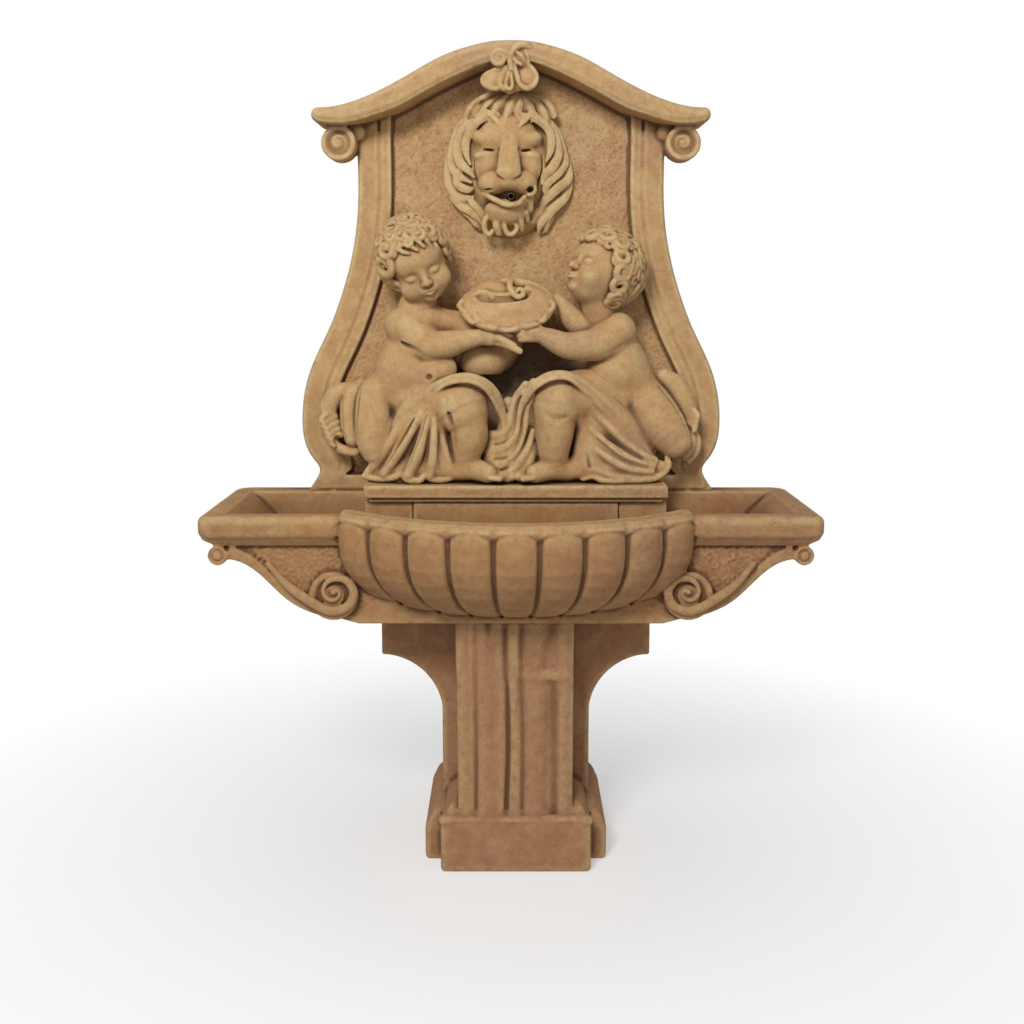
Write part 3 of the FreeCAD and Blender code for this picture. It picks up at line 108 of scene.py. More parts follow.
class Clay:
    def __init__(self, low, high, step):
        self.step = step
        self.low = np.floor(np.array(low, float) / step) * step
        count = np.ceil((np.array(high) - self.low) / step).astype(int) + 1
        self.field = np.full(tuple(count), far, np.float32)

    def window(self, low, high):
        a = np.clip(np.floor((np.array(low) - self.low) / self.step).astype(int), 0, None)
        b = np.minimum(np.ceil((np.array(high) - self.low) / self.step).astype(int) + 1, self.field.shape)
        if (b <= a).any():
            return None
        axes = [(self.low[n] + self.step * np.arange(a[n], b[n])).astype(np.float32) for n in range(3)]
        cut = tuple(slice(i, j) for i, j in zip(a, b))
        return cut, axes[0][:, None, None], axes[1][None, :, None], axes[2][None, None, :]

    def merge(self, cut, distance, soft, dig):
        now = self.field[cut]
        if dig:
            self.field[cut] = -smoothMin(-now, distance, soft)
        else:
            self.field[cut] = smoothMin(now, distance, soft)

    def node(self, *names, soft=0.0):
        for name in names:
            mesh = frame["nodes"][name].data
            mesh.calc_loop_triangles()
            corners = np.empty(len(mesh.loop_triangles) * 3, np.int32)
            mesh.loop_triangles.foreach_get("vertices", corners)
            points = (pointsOf(mesh) * 1000 - self.low) / self.step
            grid = openvdb.FloatGrid.createLevelSetFromPolygons(
                points.astype(np.float32), triangles=corners.reshape(-1, 3).astype(np.uint32), halfWidth=4.0)
            values = np.empty(self.field.shape, np.float32)
            grid.copyToArray(values)
            self.field = smoothMin(self.field, values * self.step, soft)
        return self

    def around(self, centre, reach, turned):
        # the window round a centre, and its coordinates from there in a turned frame
        found = self.window(np.array(centre) - reach, np.array(centre) + reach)
        if found is None:
            return None, None
        cut, x, y, z = found
        p = [x - centre[0], y - centre[1], z - centre[2]]
        if turned is not None:
            p = [sum(turned[k][n] * p[k] for k in range(3)) for n in range(3)]
        return cut, p

    def ball(self, centre, radii, soft=0.0, turned=None, dig=False):
        r = np.array(radii if np.ndim(radii) else (radii,) * 3, np.float32)
        cut, p = self.around(centre, r.max() + soft + 3 * self.step, turned)
        if cut is None:
            return self
        k0 = np.sqrt(sum((p[n] / r[n]) ** 2 for n in range(3)))
        k1 = np.sqrt(sum((p[n] / r[n] ** 2) ** 2 for n in range(3))) + 1e-6
        self.merge(cut, k0 * (k0 - 1) / k1, soft, dig)
        return self

    def limb(self, start, end, r0, r1, soft=0.0):
        return self.rope([(*start, r0), (*end, r1)], soft, False, 1)

    def rope(self, points, soft=0.0, dig=False, parts=4, flat=1.0):
        # a round bar through (x, y, z, radius) points; flat under 1 presses it along Y
        rows = smoothCurve(points, parts)
        reach = rows[:, 3].max() + soft + 3 * self.step
        found = self.window(rows[:, :3].min(0) - reach, rows[:, :3].max(0) + reach)
        if found is None:
            return self
        cut = found[0]
        start = np.array([s.start for s in cut])
        away = np.full([s.stop - s.start for s in cut], far, np.float32)
        for a, b in zip(rows, rows[1:]):
            big = max(a[3], b[3]) + soft + 3 * self.step
            part = self.window(np.minimum(a, b)[:3] - big, np.maximum(a, b)[:3] + big)
            if part is None:
                continue
            cut2, x2, y2, z2 = part
            inner = tuple(slice(s.start - o, s.stop - o) for s, o in zip(cut2, start))
            ab = b[:3] - a[:3]
            px, py, pz = x2 - a[0], y2 - a[1], z2 - a[2]
            t = np.clip((px * ab[0] + py * ab[1] + pz * ab[2]) / max(ab @ ab, 1e-6), 0, 1)
            d = np.sqrt((px - ab[0] * t) ** 2 + ((py - ab[1] * t) / flat) ** 2 + (pz - ab[2] * t) ** 2)
            d = d - (a[3] + (b[3] - a[3]) * t)
            away[inner] = np.minimum(away[inner], d)
        self.merge(cut, away, soft, dig)
        return self

    def ring(self, centre, radius, thick, soft, turned):
        cut, p = self.around(centre, radius + thick + soft + 3 * self.step, turned)
        if cut is None:
            return self
        d = np.sqrt((np.sqrt(p[0] ** 2 + p[2] ** 2) - radius) ** 2 + p[1] ** 2) - thick
        self.merge(cut, d, soft, False)
        return self

    def trim(self, axis, at, keepAbove):
        # a flat cut square to an axis
        line = self.low[axis] + self.step * np.arange(self.field.shape[axis])
        shape = [1, 1, 1]
        shape[axis] = -1
        side = (at - line if keepAbove else line - at).reshape(shape).astype(np.float32)
        self.field = np.maximum(self.field, side)
        return self

    def soften(self, times=1, window=None):
        f = self.field if window is None else self.field[window]
        limit = 4 * self.step
        f = np.clip(f, -limit, limit)
        for _ in range(times):
            for axis in range(3):
                g = np.moveaxis(f, axis, 0)
                g[1:-1] = 0.25 * g[:-2] + 0.5 * g[1:-1] + 0.25 * g[2:]
        if window is None:
            self.field = f
        else:
            self.field[window] = f
        return self


def sample(values, low, step, points):
    p = np.clip((points - low) / step, 0, np.array(values.shape) - 1.001)
    i = p.astype(int)
    f = p - i
    total = 0
    for corner in range(8):
        o = np.array([corner & 1, corner >> 1 & 1, corner >> 2])
        weight = np.prod(np.where(o, f, 1 - f), axis=1)
        j = i + o
        total = total + weight * values[j[:, 0], j[:, 1], j[:, 2]]
    return total


def meshFrom(name, points, faces):
    mesh = bpy.data.meshes.new(name)
    n = faces.shape[1]
    mesh.vertices.add(len(points))
    mesh.vertices.foreach_set("co", points.astype(np.float32).ravel())
    mesh.loops.add(faces.size)
    mesh.loops.foreach_set("vertex_index", faces.astype(np.int32).ravel())
    mesh.polygons.add(len(faces))
    mesh.polygons.foreach_set("loop_start", (np.arange(len(faces)) * n).astype(np.int32))
    mesh.update(calc_edges=True)
    return mesh


def link(name, mesh):
    piece = bpy.data.objects.new(name, mesh)
    bpy.context.scene.collection.objects.link(piece)
    return piece


def flatten(piece):
    # live modifiers become plain mesh
    graph = bpy.context.evaluated_depsgraph_get()
    mesh = bpy.data.meshes.new_from_object(piece.evaluated_get(graph))
    piece.modifiers.clear()
    piece.data = mesh
    return piece


def bake(clay, name, faceLimit):
    # the clay's surface as a mesh piece, in metres
    grid = openvdb.FloatGrid(3.0)
    grid.copyFromArray(np.clip(clay.field / clay.step, -3, 3))
    points, quads = grid.convertToQuads(0.0)
    points = points * clay.step + clay.low
    piece = link(name, meshFrom(name, points / 1000, quads))
    count = 2 * len(quads)
    if count > faceLimit:
        thin = piece.modifiers.new("thin", "DECIMATE")
        thin.ratio = faceLimit / count
        flatten(piece)
    piece.data.polygons.foreach_set("use_smooth", np.ones(len(piece.data.polygons), bool))
    clays.append((clay, piece))
    print("  ", name, count, "triangles before,", sum(len(p.vertices) - 2 for p in piece.data.polygons), "after")
    return piece


def balls(clay, rows):
    # (centre, radii, soft) of each
    for centre, radii, soft in rows:
        clay.ball(centre, radii, soft)


def ropes(clay, rows, soft, dig=False, parts=5):
    for row in rows:
        clay.rope(row, soft, dig, parts)


def prismInto(clay, corners, y0, y1, soft=0.0, dig=False):
    # a convex outline in the wall's plane, (x, z) turning left, from y0 to y1
    c = np.array(corners, float)
    low = (c[:, 0].min() - soft - 9, y0 - soft - 9, c[:, 1].min() - soft - 9)
    high = (c[:, 0].max() + soft + 9, y1 + soft + 9, c[:, 1].max() + soft + 9)
    cut, x, y, z = clay.window(low, high)
    d = np.maximum(y0 - y, y - y1)
    for a, b in zip(c, np.roll(c, -1, axis=0)):
        along = (b - a) / np.linalg.norm(b - a)
        d = np.maximum(d, (x - a[0]) * along[1] - (z - a[1]) * along[0])
    clay.merge(cut, d, soft, dig)


def spiral(centre, r0, r1, turns, start, way=1, thick0=4.0, thick1=3.0, parts=14):
    # points of a flat spiral in the wall's plane, from r0 in to r1; degrees from +X towards +Z
    rows = []
    count = int(parts * turns) + 1
    for i in range(count + 1):
        t = i / count
        a = math.radians(start + way * 360 * turns * t)
        r = r0 + (r1 - r0) * t
        rows.append((centre[0] + r * math.cos(a), centre[1], centre[2] + r * math.sin(a),
                     thick0 + (thick1 - thick0) * t))
    return rows


def softNoise(shape, step, wave, seed, spread=0.35):
    # even lumps of one size: random numbers with all but one band of wavelengths filtered out
    rng = np.random.default_rng(seed)
    spectrum = np.fft.rfftn(rng.standard_normal(shape))
    parts = [np.fft.fftfreq(n, step) for n in shape[:-1]] + [np.fft.rfftfreq(shape[-1], step)]
    size = np.sqrt(sum(f ** 2 for f in np.meshgrid(*parts, indexing="ij")))
    spectrum *= np.exp(-((size * wave - 1) / spread) ** 2)
    values = np.fft.irfftn(spectrum, shape, axes=range(len(shape)))
    return (values / values.std()).astype(np.float32)


# Shade: how deep in a hollow or how proud on an edge each point lies, kept as attributes for the stone

shadeSize = {"cell": 5.0, "near": 2.2, "wide": 7.0, "lift": 3.0, "low": (-640.0, -290.0, -20.0),
             "size": (1280.0, 560.0, 1720.0)}


def blurred(field, spread):
    # three running means along each axis, close to a Gaussian of that many cells
    width = max(3, int(round(spread * 2)) | 1)
    half = width // 2
    for axis in range(3):
        f = np.moveaxis(field, axis, 0)
        for _ in range(3):
            padded = np.concatenate([f[:1].repeat(half + 1, 0), f, f[-1:].repeat(half, 0)])
            total = np.cumsum(padded, axis=0, dtype=np.float64)
            f = ((total[width:] - total[:-width]) / width).astype(np.float32)
        field = np.moveaxis(f, 0, axis)
    return field


def shadeAll():
    s = shadeSize
    cell = s["cell"]
    low = np.array(s["low"])
    count = (np.array(s["size"]) / cell).astype(int) + 1
    solid = np.zeros(tuple(count), np.float32)
    axes = [low[n] + cell * np.arange(count[n]) for n in range(3)]
    for clay, piece in clays:
        found = [np.round((axes[n] - clay.low[n]) / clay.step).astype(int) for n in range(3)]
        inside = [(f >= 0) & (f < clay.field.shape[n]) for n, f in enumerate(found)]
        cut = np.ix_(*[np.nonzero(i)[0] for i in inside])
        part = clay.field[np.ix_(*[f[i] for f, i in zip(found, inside)])]
        solid[cut] = np.maximum(solid[cut], np.clip(0.5 - part / cell, 0, 1))
    near = blurred(solid, s["near"])
    wide = blurred(solid, s["wide"])
    for clay, piece in clays:
        shade(clay, piece, near, wide, low, cell)
    return near, wide, low, cell


def shade(clay, piece, near, wide, low, cell):
    mesh = piece.data
    points = pointsOf(mesh) * 1000
    lift = pointsOf(mesh, "normal") * shadeSize["lift"]
    limit = 3 * clay.step
    soft = np.clip(clay.field, -limit, limit)
    blur = blurred(soft, 2.0)
    rise = sample(blur, clay.low, clay.step, points) - sample(soft, clay.low, clay.step, points)
    keep(mesh, "fine", rise / clay.step)
    keep(mesh, "near", sample(near, low, cell, points + lift))
    keep(mesh, "wide", sample(wide, low, cell, points + lift * 3))


# Finishes: sums on sockets written as Python

def addNode(tree, kind, settings=None, values=None):
    # a node with its settings, and a link or a number on each input that is named
    node = tree.nodes.new(kind)
    for key, value in (settings or {}).items():
        setattr(node, key, value)
    for key, value in (values or {}).items():
        value = value.socket if isinstance(value, Link) else value
        if isinstance(value, bpy.types.NodeSocket):
            tree.links.new(value, node.inputs[key])
        else:
            node.inputs[key].default_value = value
    return node


class Link:
    def __init__(self, finish, socket):
        self.finish = finish
        self.socket = socket

    def sum(self, operation, a, b):
        return self.finish.node("ShaderNodeMath", {"operation": operation}, {0: a, 1: b})

    def __add__(self, other):
        return self.sum("ADD", self, other)

    def __radd__(self, other):
        return self.sum("ADD", other, self)

    def __sub__(self, other):
        return self.sum("SUBTRACT", self, other)

    def __rsub__(self, other):
        return self.sum("SUBTRACT", other, self)

    def __mul__(self, other):
        return self.sum("MULTIPLY", self, other)

    def __rmul__(self, other):
        return self.sum("MULTIPLY", other, self)

    def __truediv__(self, other):
        return self.sum("DIVIDE", self, other)

    def __rtruediv__(self, other):
        return self.sum("DIVIDE", other, self)

    def __pow__(self, other):
        return self.sum("POWER", self, other)

    def between(self, low, high):
        # 0 at low, 1 at high, held outside
        return self.finish.node("ShaderNodeMapRange", {"clamp": True}, {0: self, 1: low, 2: high, 3: 0.0, 4: 1.0})


def linear(colour):
    # 0 to 255 as seen, to the numbers that a shader takes
    parts = [v / 255 for v in colour]
    return tuple(v / 12.92 if v <= 0.04045 else ((v + 0.055) / 1.055) ** 2.4 for v in parts) + (1.0,)


class Finish:
    def __init__(self, name):
        self.material = bpy.data.materials.new(name)
        self.material.use_nodes = True
        self.tree = self.material.node_tree
        self.shader = self.tree.nodes["Principled BSDF"]
        self.place = self.node("ShaderNodeTexCoord", {}, {}, "Object")

    def node(self, kind, settings=None, values=None, out=0):
        return Link(self, addNode(self.tree, kind, settings, values).outputs[out])

    def axis(self, n):
        return self.node("ShaderNodeSeparateXYZ", {}, {0: self.place}, n)

    def noise(self, scale, detail=3.0, rough=0.55, warp=0.0, place=None):
        return self.node("ShaderNodeTexNoise", {}, {"Vector": place or self.place, "Scale": scale, "Detail": detail,
                                                    "Roughness": rough, "Distortion": warp})

    def kept(self, name):
        return self.node("ShaderNodeAttribute", {"attribute_name": name}, {}, "Fac")

    def mix(self, share, a, b, blend="MIX"):
        a, b = (linear(c) if isinstance(c, tuple) and len(c) == 3 else c for c in (a, b))
        return self.node("ShaderNodeMix", {"data_type": "RGBA", "blend_type": blend}, {0: share, 6: a, 7: b}, 2)

    def bump(self, height, distance, strength):
        return self.node("ShaderNodeBump", {}, {"Height": height, "Distance": distance, "Strength": strength})

    def give(self, **values):
        for key, value in values.items():
            socket = self.shader.inputs[key.replace("_", " ")]
            if isinstance(value, Link):
                self.tree.links.new(value.socket, socket)
            else:
                socket.default_value = linear(value) if isinstance(value, tuple) and len(value) == 3 else value
        return self.material


# stone colours: grime and mauve also serve as painted shade, deep is painted deep shade and painted shadow, cream also
# serves as painted highlight, low darkens the bottom as painted shade together with grime, stain places a painted
# shadow
stoneLook = {"ochre": (190, 150, 103), "creamAndHighlight": (208, 184, 136), "rust": (168, 116, 76), "mauveAndShade": (162, 124, 106),
             "grimeAndShade": (98, 72, 54), "deep": (50, 44, 42), "low": (222, 208, 202), "lowFrom": 0.80, "lowTo": 0.70,
             "shadowPatch": (0.01, 1.01, 0.15, 0.105), "shadowPatchFront": (0.135, 0.165), "shadowPatchBack": (0.212, 0.205),
             "pedestal": (186, 146, 110), "field": (188, 148, 104), "grain": 0.0009, "roughness": 0.86}


def castStone(name="cast_stone", tint=None):
    s = stoneLook
    f = Finish(name)
    fine, near, wide = f.kept("fine"), f.kept("near"), f.kept("wide")
    across, up = f.axis(0), f.axis(2)
    # the mauve patches gather towards +X: this lean is painted shade on the side away from the key lamp, over the
    # stone's own patchy tone
    patches = f.noise(3.4, 3.0, 0.5, 0.6) + across * 0.12
    blotches = f.noise(17.0, 4.0, 0.62, 0.9)
    mottle = f.noise(60.0, 5.0, 0.7)
    specks = f.noise(260.0, 3.0, 0.65)
    grit = f.noise(900.0, 2.0, 0.6)
    colour = f.mix(patches.between(0.5, 0.72) * 0.6, tint or s["ochre"], s["mauveAndShade"])
    colour = f.mix(blotches.between(0.5, 0.74) * 0.55, colour, s["rust"])
    colour = f.mix(blotches.between(0.48, 0.28) * 0.5, colour, s["creamAndHighlight"])
    colour = f.mix(mottle.between(0.5, 0.75) * 0.3, colour, s["creamAndHighlight"])
    colour = f.mix(mottle.between(0.48, 0.25) * 0.25, colour, s["grimeAndShade"])
    # painted shade: broad recesses take a mauve cast
    colour = f.mix(wide.between(0.5, 0.85) * 0.35, colour, s["mauveAndShade"])
    # painted shade: deep among the stone (near) and in creases (fine below zero) the colour darkens to grime, partly
    # real grime and partly shade
    hollow = near + (mottle - 0.5) * 0.25
    colour = f.mix(hollow.between(0.50, 0.74) * 0.85, colour, s["grimeAndShade"])
    colour = f.mix((0.0 - fine).between(0.10, 0.6) * 0.8, colour, s["grimeAndShade"])
    # painted shade: the deepest hollows go nearly black
    colour = f.mix(hollow.between(0.68, 0.9) * 0.92, colour, s["deep"])
    # painted highlight: proud edges lighten to cream, in patches
    proud = fine.between(0.06, 0.45) * (blotches + mottle).between(0.8, 1.1)
    colour = f.mix(proud * 0.8, colour, s["creamAndHighlight"])
    colour = f.mix(specks.between(0.55, 0.75) * 0.3, colour, s["grimeAndShade"])
    colour = f.mix(specks.between(0.45, 0.28) * 0.3, colour, s["creamAndHighlight"])
    # painted shadow: the closed hollow under the dish is painted nearly black
    u, v, wideU, wideV = s["shadowPatch"]
    inward = f.axis(1)
    deepIn = inward.between(*s["shadowPatchFront"]) * inward.between(*s["shadowPatchBack"])
    off = ((across - u) / wideU) ** 2.0 + ((up - v) / wideV) ** 2.0
    colour = f.mix(off.between(1.3, 0.6) * deepIn * 0.92, colour, s["deep"])
    colour = f.mix(grit.between(0.62, 0.75) * 0.3, colour, s["rust"])
    # darker towards the bottom: painted shade together with grime
    colour = f.mix(up.between(s["lowFrom"], s["lowTo"]), colour, f.mix(1.0, colour, s["low"], "MULTIPLY"))
    height = f.noise(240.0, 4.0, 0.65) * 0.5 + grit * 0.3 + mottle * 0.8
    rough = s["roughness"] + (blotches - 0.5) * 0.2
    return f.give(Base_Color=colour, Roughness=rough, Normal=f.bump(height, s["grain"], 0.7), Specular_IOR_Level=0.22)


# Basin: flutes under a plain rim, scrolls on the ends of the brackets, stippled bracket panels

basinSize = {"step": 2.4, "axisX": 10.0, "centreY": 248.0, "radius": 488.0, "flatRadius": 210.0, "curveZ": 690.0,
             "baseZ": 522.0, "halfAngle": 45.0, "flutes": 9, "groove": 4.4, "archLow": 716.0, "archRise": 20.0,
             "largeCurl": (345.0, -101.0, 592.0), "smallCurl": (572.0, -113.0, 661.5),
             "innerCurl": (292.0, -60.0, 546.0), "stippleWave": 9.0, "stippleRise": 2.4,
             # one flute from the rim down: height, way out of the bowl, radius
             "flute": ((724, 4, 2.0), (718, 3, 5.6), (708, 2, 5.2), (690, 1, 4.6), (670, 1, 4.6), (640, 0, 4.4),
                       (610, 0, 4.2), (585, 0, 4.0), (562, 0, 3.6), (545, 0, 3.2), (532, 0, 2.8), (524, 0, 2.2)),
             # the bed of the large scroll: its middle across and up, radius, from and to in depth
             "bed": (347, 582, 50, -130, -99),
             # its band: (across, up, half width), then (degrees, radius, half width) round the eye
             "bandStart": ((471, 649, 6), (441, 612, 8), (412, 588, 10)),
             "bandTurns": ((-130, 40, 10), (-90, 38, 9.5), (-45, 39, 9.5), (0, 39.5, 9), (45, 34, 8), (90, 26.5, 6.5),
                           (135, 22.5, 5.5), (180, 20.5, 5), (225, 18.5, 4.8), (270, 16.5, 4.5), (315, 14, 4),
                           (360, 11.5, 3.5), (405, 8, 3.2)),
             "rollLeft": (318, 372), "rollRight": (338, 392), "lineX": (400, 480, 585), "lineZ": 694,
             "facePoint": (400.0, 640.0), "stippleX": (262, 588), "stippleZ": (548, 688), "bottom": 521.0,
             "faces": 170000}


def bowlRadius(z):
    s = basinSize
    t = min(1.0, max(0.0, (s["curveZ"] - z) / (s["curveZ"] - s["baseZ"])))
    return s["flatRadius"] + (s["radius"] - s["flatRadius"]) * math.sqrt(1 - t * t)


def bowlPoint(angle, z, out):
    s = basinSize
    a = math.radians(angle)
    r = bowlRadius(z) + out
    return s["axisX"] + r * math.sin(a), s["centreY"] - r * math.cos(a), z


def bowlFace(clay, angle, z):
    # the outermost stone at one angle and height
    s = basinSize
    a = math.radians(angle)
    r = np.arange(s["radius"] - 58, s["radius"] + 27, 0.5)
    points = np.stack([s["axisX"] + r * math.sin(a), s["centreY"] - r * math.cos(a), np.full(len(r), z)], 1)
    inside = np.nonzero(sample(clay.field, clay.low, clay.step, points) < 0)[0]
    return tuple(points[inside[-1]]) if len(inside) else tuple(points[0])


def curlCut(clay, side, centre, r0, r1, turns, start, wide, eye):
    # a spiral groove that mirrors with its side, and the round eye in its middle
    x, y, z = centre
    angle = start if side < 0 else 180 - start
    clay.rope(spiral((side * x, y, z), r0, r1, turns, angle, -side, wide, wide * 0.75), 1.5, True)
    clay.ball((side * x, y + 1, z), (eye, eye * 0.5, eye), 1.5)


def stippleInto(clay, low, high, y, deep, wave, rise, seed):
    # small even lumps on an upright face at y
    cut, px, py, pz = clay.window(low, high)
    shape = tuple(s.stop - s.start for s in cut)
    lumps = softNoise(shape, clay.step, wave, seed)
    edge = np.minimum(np.clip((px - low[0]) / 12, 0, 1), np.clip((high[0] - px) / 12, 0, 1))
    edge = edge * np.minimum(np.clip((pz - low[2]) / 12, 0, 1), np.clip((high[2] - pz) / 12, 0, 1))
    # none where the stone ends just behind the face
    edge = edge * np.clip((-clay.field[cut][:, -1:, :] - 3) / 3, 0, 1)
    clay.field[cut] -= lumps * rise * edge * np.clip((deep - np.abs(py - y)) / 4, 0, 1)


def makeBasin():
    s = basinSize
    clay = Clay((-616, -264, 514), (616, 258, 758), s["step"]).node("basin")
    each = 2 * s["halfAngle"] / s["flutes"]
    arches = []
    for i in range(s["flutes"] + 1):
        angle = -s["halfAngle"] + each * i
        path = [(*bowlPoint(angle, z, out), r * s["groove"] / 4.6) for z, out, r in s["flute"]]
        clay.rope(path, 5.0, True, 3)
        if i < s["flutes"]:
            arch = []
            for k in range(17):
                t = k / 16
                rise = math.sin(math.pi * t) ** 0.45
                arch.append((*bowlFace(clay, angle + each * t, s["archLow"] + s["archRise"] * rise), 3.4))
            arches.append(arch)
    for arch in arches:
        clay.rope(arch, 2.0, True, 1)
    for side in (-1, 1):
        # the large scroll: the band comes up from the bracket's lower edge and winds into its eye
        x, y, z = s["largeCurl"]
        u, w, r, y0, y1 = s["bed"]
        disc = [(side * u + r * math.cos(a), w + r * math.sin(a)) for a in np.arange(24) * math.pi / 12]
        prismInto(clay, disc, y0, y1, 1.5, True)
        winding = [(u, y, w, half) for u, w, half in s["bandStart"]]
        for degrees, r, half in s["bandTurns"]:
            a = math.radians(degrees)
            winding.append((x - r * math.cos(a), y, z + r * math.sin(a), half))
        clay.rope([(side * u, v, w, r) for u, v, w, r in winding], 1.2, False, 5, 0.65)
        clay.ball((side * x, y, z), (6, 6, 6), 1)
        curlCut(clay, side, s["smallCurl"], 12.5, 5, 1.2, 60, 2.6, 4)
        curlCut(clay, side, s["innerCurl"], 15, 6, 1.2, -60, 2.8, 5)
        # the wing's roll runs on into the bowl; a line parts it from the bracket below
        near, away = s["rollLeft"] if side < 0 else s["rollRight"]
        clay.rope([(side * near, -82, 717, 20), (side * away, -84, 718, 22)], 8, False, 4)
        clay.rope([(side * x, -106, s["lineZ"], 2.6) for x in s["lineX"]], 2, True)
        # lumps on the bracket's face, at the depth where the stone begins
        low, high = sorted(side * x for x in s["stippleX"])
        bottom, top = s["stippleZ"]
        x, z = s["facePoint"]
        spots = np.array([(side * x, y, z) for y in np.arange(-125.0, -50.0, 0.5)])
        face = spots[np.nonzero(sample(clay.field, clay.low, clay.step, spots) < 0)[0][0], 1]
        stippleInto(clay, (low, face - 6, bottom), (high, face + 8, top), face, 5, s["stippleWave"], s["stippleRise"],
                    3 + side)
    clay.trim(2, s["bottom"], True)
    clay.soften(1)
    return bake(clay, "basin_stone", s["faces"])


# Back panel: lip of the cornice, curls of the volutes, thin raised line round the frame

panelSize = {"top": 1676.4, "frontY": 114.0, "voluteX": 356.0, "voluteZ": 1475.4, "voluteFront": 150.0,
             "cornice": ((392.0, 162.5), (364.0, 166.0), (331.0, 165.0), (285.0, 152.5), (234.0, 135.0),
                         (186.0, 109.5), (143.0, 87.0), (101.0, 67.0), (49.0, 47.0), (0.0, 40.0)),
             "outline": ((440.0, 741.0), (424.0, 765.0), (415.0, 788.0), (430.0, 813.0), (447.0, 851.0),
                         (451.0, 893.0), (446.0, 949.0), (433.0, 999.0), (410.0, 1051.0), (385.0, 1102.0),
                         (365.0, 1153.0), (336.0, 1254.4), (326.0, 1317.4), (322.0, 1380.4), (322.0, 1441.4),
                         (322.0, 1500.0)),
             "roll": ((348, 186, 1512, 14), (340, 184, 1506, 17), (322, 186, 1500, 18)),
             "lineIn": 46.0, "lineY": 196.6, "step": 2.0, "faces": 160000}


def makePanel():
    s = panelSize
    clay = Clay((-458, 104, 736), (458, 258, 1682), s["step"]).node("back_panel")
    out = smoothCurve(s["outline"], 4)
    along = np.gradient(out, axis=0)
    along /= np.linalg.norm(along, axis=1)[:, None]
    inner = out + np.stack([-along[:, 1], along[:, 0]], 1) * s["lineIn"]
    for side in (-1, 1):
        clay.rope([(side * x, s["lineY"], z, 4.5) for x, z in inner], 0.5, False, 1)
        # the volute: its outer band rolls round a sunk spiral
        clay.rope([(side * x, y, z, r) for x, y, z, r in s["roll"]], 5, False, 4)
        x, y, z = s["voluteX"], s["voluteFront"], s["voluteZ"]
        angle = 60 if side < 0 else 120
        clay.rope(spiral((side * x, y + 1, z), 22, 5, 1.35, angle, -side, 4.6, 3.0), 3.0, True)
        clay.ball((side * x, y + 2, z), (6, 4, 6), 2)
    low = [(x, s["top"] - down) for x, down in s["cornice"]]
    line = [(-x, z) for x, z in low] + [(x, z) for x, z in reversed(low[:-1])]
    clay.rope([(x, s["frontY"] + 9, z + 4, 4.2) for x, z in line], 3.0, False, 4)
    clay.soften(2)
    return bake(clay, "back_panel_stone", s["faces"])


# Pedestal: hanging folds down its front

foldSize = {"flat": 0.5, "soft": 9.0, "axisX": 10.0, "top": 521.5, "footTop": 128.0, "step": 2.5, "faces": 110000,
            "apron": ((-106, 118), (125, 118), (126, 521), (-110, 521)),
            "ridges": (((-93, -52, 532, 14), (-96, -51, 440, 12), (-92, -54, 400, 13), (-92, -55, 300, 14),
                        (-92, -57, 126, 14)),
                       ((-79, -59, 532, 5), (-78, -61, 440, 5), (-76, -62, 390, 5), (-76, -62, 300, 5.5),
                        (-77, -62, 126, 5.5)),
                       ((-30, -48, 532, 17), (-26, -50, 440, 18), (-22, -52, 340, 18), (-24, -53, 250, 18),
                        (-27, -54, 126, 18)),
                       ((-56, -46, 532, 20), (-54, -48, 440, 20), (-52, -50, 300, 21), (-52, -52, 126, 21)),
                       ((6, -56, 532, 12), (5, -58, 470, 12), (8, -58, 420, 11), (2, -58, 395, 11), (8, -58, 330, 12),
                        (9, -58, 250, 13), (7, -58, 126, 13)),
                       ((46, -49, 532, 22), (44, -48, 480, 21), (42, -47, 430, 19), (48, -47, 395, 20),
                        (48, -48, 360, 22), (47, -48, 260, 22), (46, -49, 126, 21)),
                       ((104, -52, 532, 12), (104, -52, 440, 13), (106, -52, 300, 12), (105, -54, 126, 12)),
                       ((34, -58, 412, 9), (70, -58, 411, 10), (106, -57, 412, 10))),
            "grooves": (((-72, -65, 532, 3.4), (-72, -66, 430, 3.4), (-70, -66, 300, 3.6), (-70, -66, 126, 3.4)),
                        ((-13, -64, 532, 5), (-13, -65, 470, 4.6), (-11, -66, 420, 4.6), (-7, -66, 380, 4.6),
                         (-6, -66, 300, 5), (-6, -66, 240, 4.6), (-10, -65, 126, 4.6)),
                        ((20, -66, 532, 4), (20, -67, 440, 3.6), (20, -68, 400, 3.6), (22, -68, 340, 4),
                         (24, -68, 250, 4), (22, -67, 126, 3.6)),
                        ((86, -66, 532, 12), (79, -67, 490, 10), (69, -69, 446, 5)),
                        ((82, -68, 392, 7), (85, -67, 376, 10), (86, -67, 260, 11), (86, -67, 126, 10)),
                        ((-48, -65, 532, 10), (-46, -67, 508, 6), (-44, -68, 486, 3)))}


